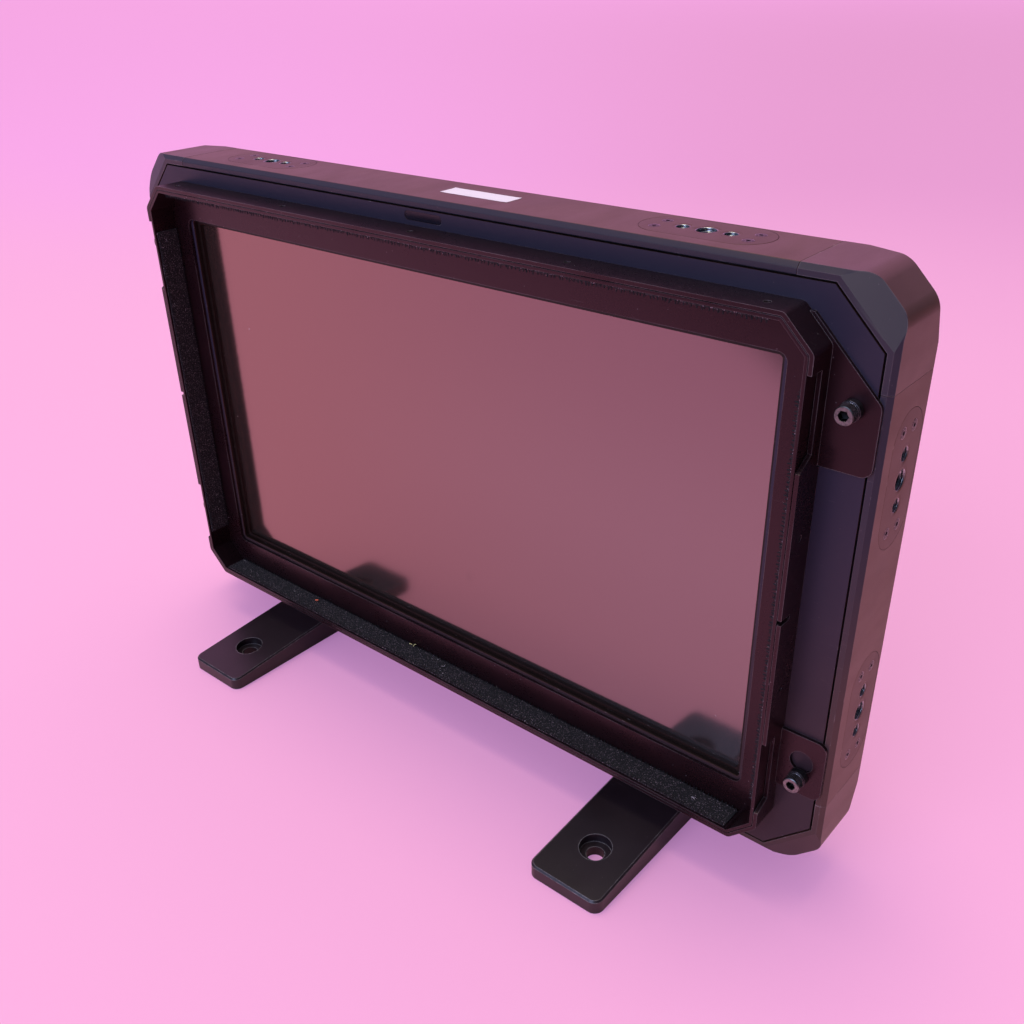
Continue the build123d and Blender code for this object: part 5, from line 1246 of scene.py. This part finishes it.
class MONITOR_OT_stage(bpy.types.Operator):
    """Make the plain floor, the soft light and the camera"""

    bl_idname = "monitor.stage"
    bl_label = "Stage"

    def execute(self, context):
        _, _, stage = settings()
        self.floor(stage)
        self.world(context, stage)
        self.lamps(stage)
        self.camera(context, stage)
        context.scene.view_settings.view_transform = "Standard"
        return {"FINISHED"}

    def floor(self, stage):
        """A wide plain disc under the feet, which fades into the backdrop far out, with painted shade on the
        far floor.
        """
        mesh = new_mesh("floor", lambda bm: bmesh.ops.create_circle(bm, cap_ends=True, radius=FLOOR_RADIUS,
                                                                    segments=64))
        piece = add_object("floor", mesh)
        paint = Paint("plain_floor")
        fine = paint.cloud(220.0, 3.0, 0.6)
        across, along, _ = paint.parts(paint.place)
        far = (across * across + along * along) ** 0.5
        # Painted shade: far behind the object the floor is darker, and towards the left bluer instead.
        side = paint.ease(across / far, -0.30, -0.90)
        behind = paint.mix(side, tinted(stage.floor, (0.80, 0.71, 0.82)),
                           tinted(stage.floor, (1.00, 0.88, 1.20)))
        base = paint.mix(paint.cloud(1.1, 2.0), shade(stage.floor, 0.98), shade(stage.floor, 1.02))
        base = paint.mix(paint.ease(far, 0.5, 1.9) * paint.ease(along, 0.0, 1.0), base, behind)
        front_end = paint.ease(along - across * FRONT_SLANT, *FRONT_END)
        ends = paint.most(front_end, paint.ease(across, *RIGHT_END)) * paint.ray("Is Glossy Ray")
        base = paint.mix(ends, base, shade(stage.floor, 0.25))
        lit = paint.node("ShaderNodeBsdfPrincipled", None,
                         {"Base Color": base, "Roughness": 0.7 + fine * 0.1, "Specular IOR Level": 0.2})
        seen = paint.ray("Is Camera Ray")
        glow = paint.node("ShaderNodeEmission", None, {"Color": (*stage.glow, 1.0)})
        near = paint.node("ShaderNodeMixShader", None, {0: seen * stage.glow_share, 1: lit, 2: glow})
        wall = paint.node("ShaderNodeEmission", None, {"Color": (*stage.backdrop, 1.0)})
        fade = seen * paint.ease(far, FADE_START, FADE_END)
        both = paint.node("ShaderNodeMixShader", None, {0: fade, 1: near, 2: wall})
        paint.node("ShaderNodeOutputMaterial", None, {"Surface": both})
        piece.data.materials.append(paint.material)

    def world(self, context, stage):
        """Soft light from all sides; mirrors show the backdrop behind and the cooler room in front."""
        paint = Paint("soft_sky", world=True)
        context.scene.world = paint.material
        across, along, _ = paint.parts(paint.place)
        seen = paint.most(paint.ray("Is Camera Ray"), paint.ray("Is Glossy Ray"))
        seen = paint.most(seen, paint.ray("Is Transmission Ray"))
        room = paint.mix(paint.ease(across, 0.10, 0.60), stage.room, shade(stage.room, 0.15))
        behind = paint.ease(along, -0.35, 0.40) * paint.ease(across, 0.40, 0.10)
        mirror = paint.mix(behind, room, stage.backdrop)
        wall = paint.mix(paint.ray("Is Camera Ray"), mirror, stage.backdrop)
        sky = paint.mix(paint.ease(across, 0.0, 0.8), stage.sky, shade(stage.sky, 0.4))
        light = paint.node("ShaderNodeBackground", None, {"Color": sky, "Strength": stage.sky_power})
        wall = paint.node("ShaderNodeBackground", None, {"Color": wall})
        both = paint.node("ShaderNodeMixShader", None, {0: seen, 1: light, 2: wall})
        paint.node("ShaderNodeOutputWorld", None, {"Surface": both})

    def lamps(self, stage):
        """One soft sun from above, and a cool soft window in front."""
        data = bpy.data.lights.new("soft_lamp", "SUN")
        data.energy = stage.lamp_power
        data.angle = math.radians(30)
        data.color = (1.0, 0.916, 0.75)
        add_object("soft_lamp", data).rotation_euler = Euler((math.radians(-4), math.radians(-9), 0))
        data = bpy.data.lights.new("cool_window", "AREA")
        data.energy = stage.window_power
        data.size = stage.window_size
        data.color = (0.55, 0.62, 1.0)
        window = add_object("cool_window", data)
        away = Vector((-0.02, -1.0, 0.45))
        window.location = Vector((0.0, 0.0, 0.25)) + away * 3.3
        window.rotation_euler = away.to_track_quat("Z", "Y").to_euler()

    def camera(self, context, stage):
        """The camera at the photograph's viewing angle."""
        azimuth, elevation, roll = stage.camera_turn
        data = bpy.data.cameras.new("camera")
        data.lens = stage.lens
        data.sensor_width = 36.0
        data.shift_x = stage.shift_x
        data.shift_y = stage.shift_y
        data.clip_start = 0.01
        camera = add_object("camera", data)
        turn = Matrix.Rotation(azimuth, 4, "Z") @ Matrix.Rotation(math.pi / 2 - elevation, 4, "X")
        turn = turn @ Matrix.Rotation(roll, 4, "Z")
        camera.matrix_world = Matrix.Translation(stage.camera_place) @ turn
        context.scene.camera = camera


class MONITOR_PT_pieces(bpy.types.Panel):
    """Lists the settings and the groups of pieces"""

    bl_idname = "MONITOR_PT_pieces"
    bl_label = "Recording monitor"
    bl_space_type = "VIEW_3D"
    bl_region_type = "UI"
    bl_category = "Monitor"

    def draw(self, context):
        for group in settings():
            box = self.layout.box()
            for key in group.__annotations__:
                box.prop(group, key)
        for operator in OPERATORS:
            self.layout.operator(operator.bl_idname)


OPERATORS = (MONITOR_OT_rim, MONITOR_OT_bezel, MONITOR_OT_screen, MONITOR_OT_inserts, MONITOR_OT_hood_frame,
             MONITOR_OT_hook_strips, MONITOR_OT_hood_screws, MONITOR_OT_feet, MONITOR_OT_rear,
             MONITOR_OT_sockets, MONITOR_OT_drive, MONITOR_OT_fan, MONITOR_OT_insides, MONITOR_OT_label,
             MONITOR_OT_stage)
CLASSES = (FinishSettings, DetailSettings, StageSettings) + OPERATORS + (MONITOR_PT_pieces,)


def register():
    for cls in CLASSES:
        bpy.utils.register_class(cls)
    bpy.types.Scene.monitor_finish = PointerProperty(type=FinishSettings)
    bpy.types.Scene.monitor_detail = PointerProperty(type=DetailSettings)
    bpy.types.Scene.monitor_stage = PointerProperty(type=StageSettings)


def unregister():
    del bpy.types.Scene.monitor_stage
    del bpy.types.Scene.monitor_detail
    del bpy.types.Scene.monitor_finish
    for cls in reversed(CLASSES):
        bpy.utils.unregister_class(cls)


def main():
    register()
    for operator in OPERATORS:
        group, name = operator.bl_idname.split(".")
        getattr(getattr(bpy.ops, group), name)()


if __name__ == "__main__":
    main()
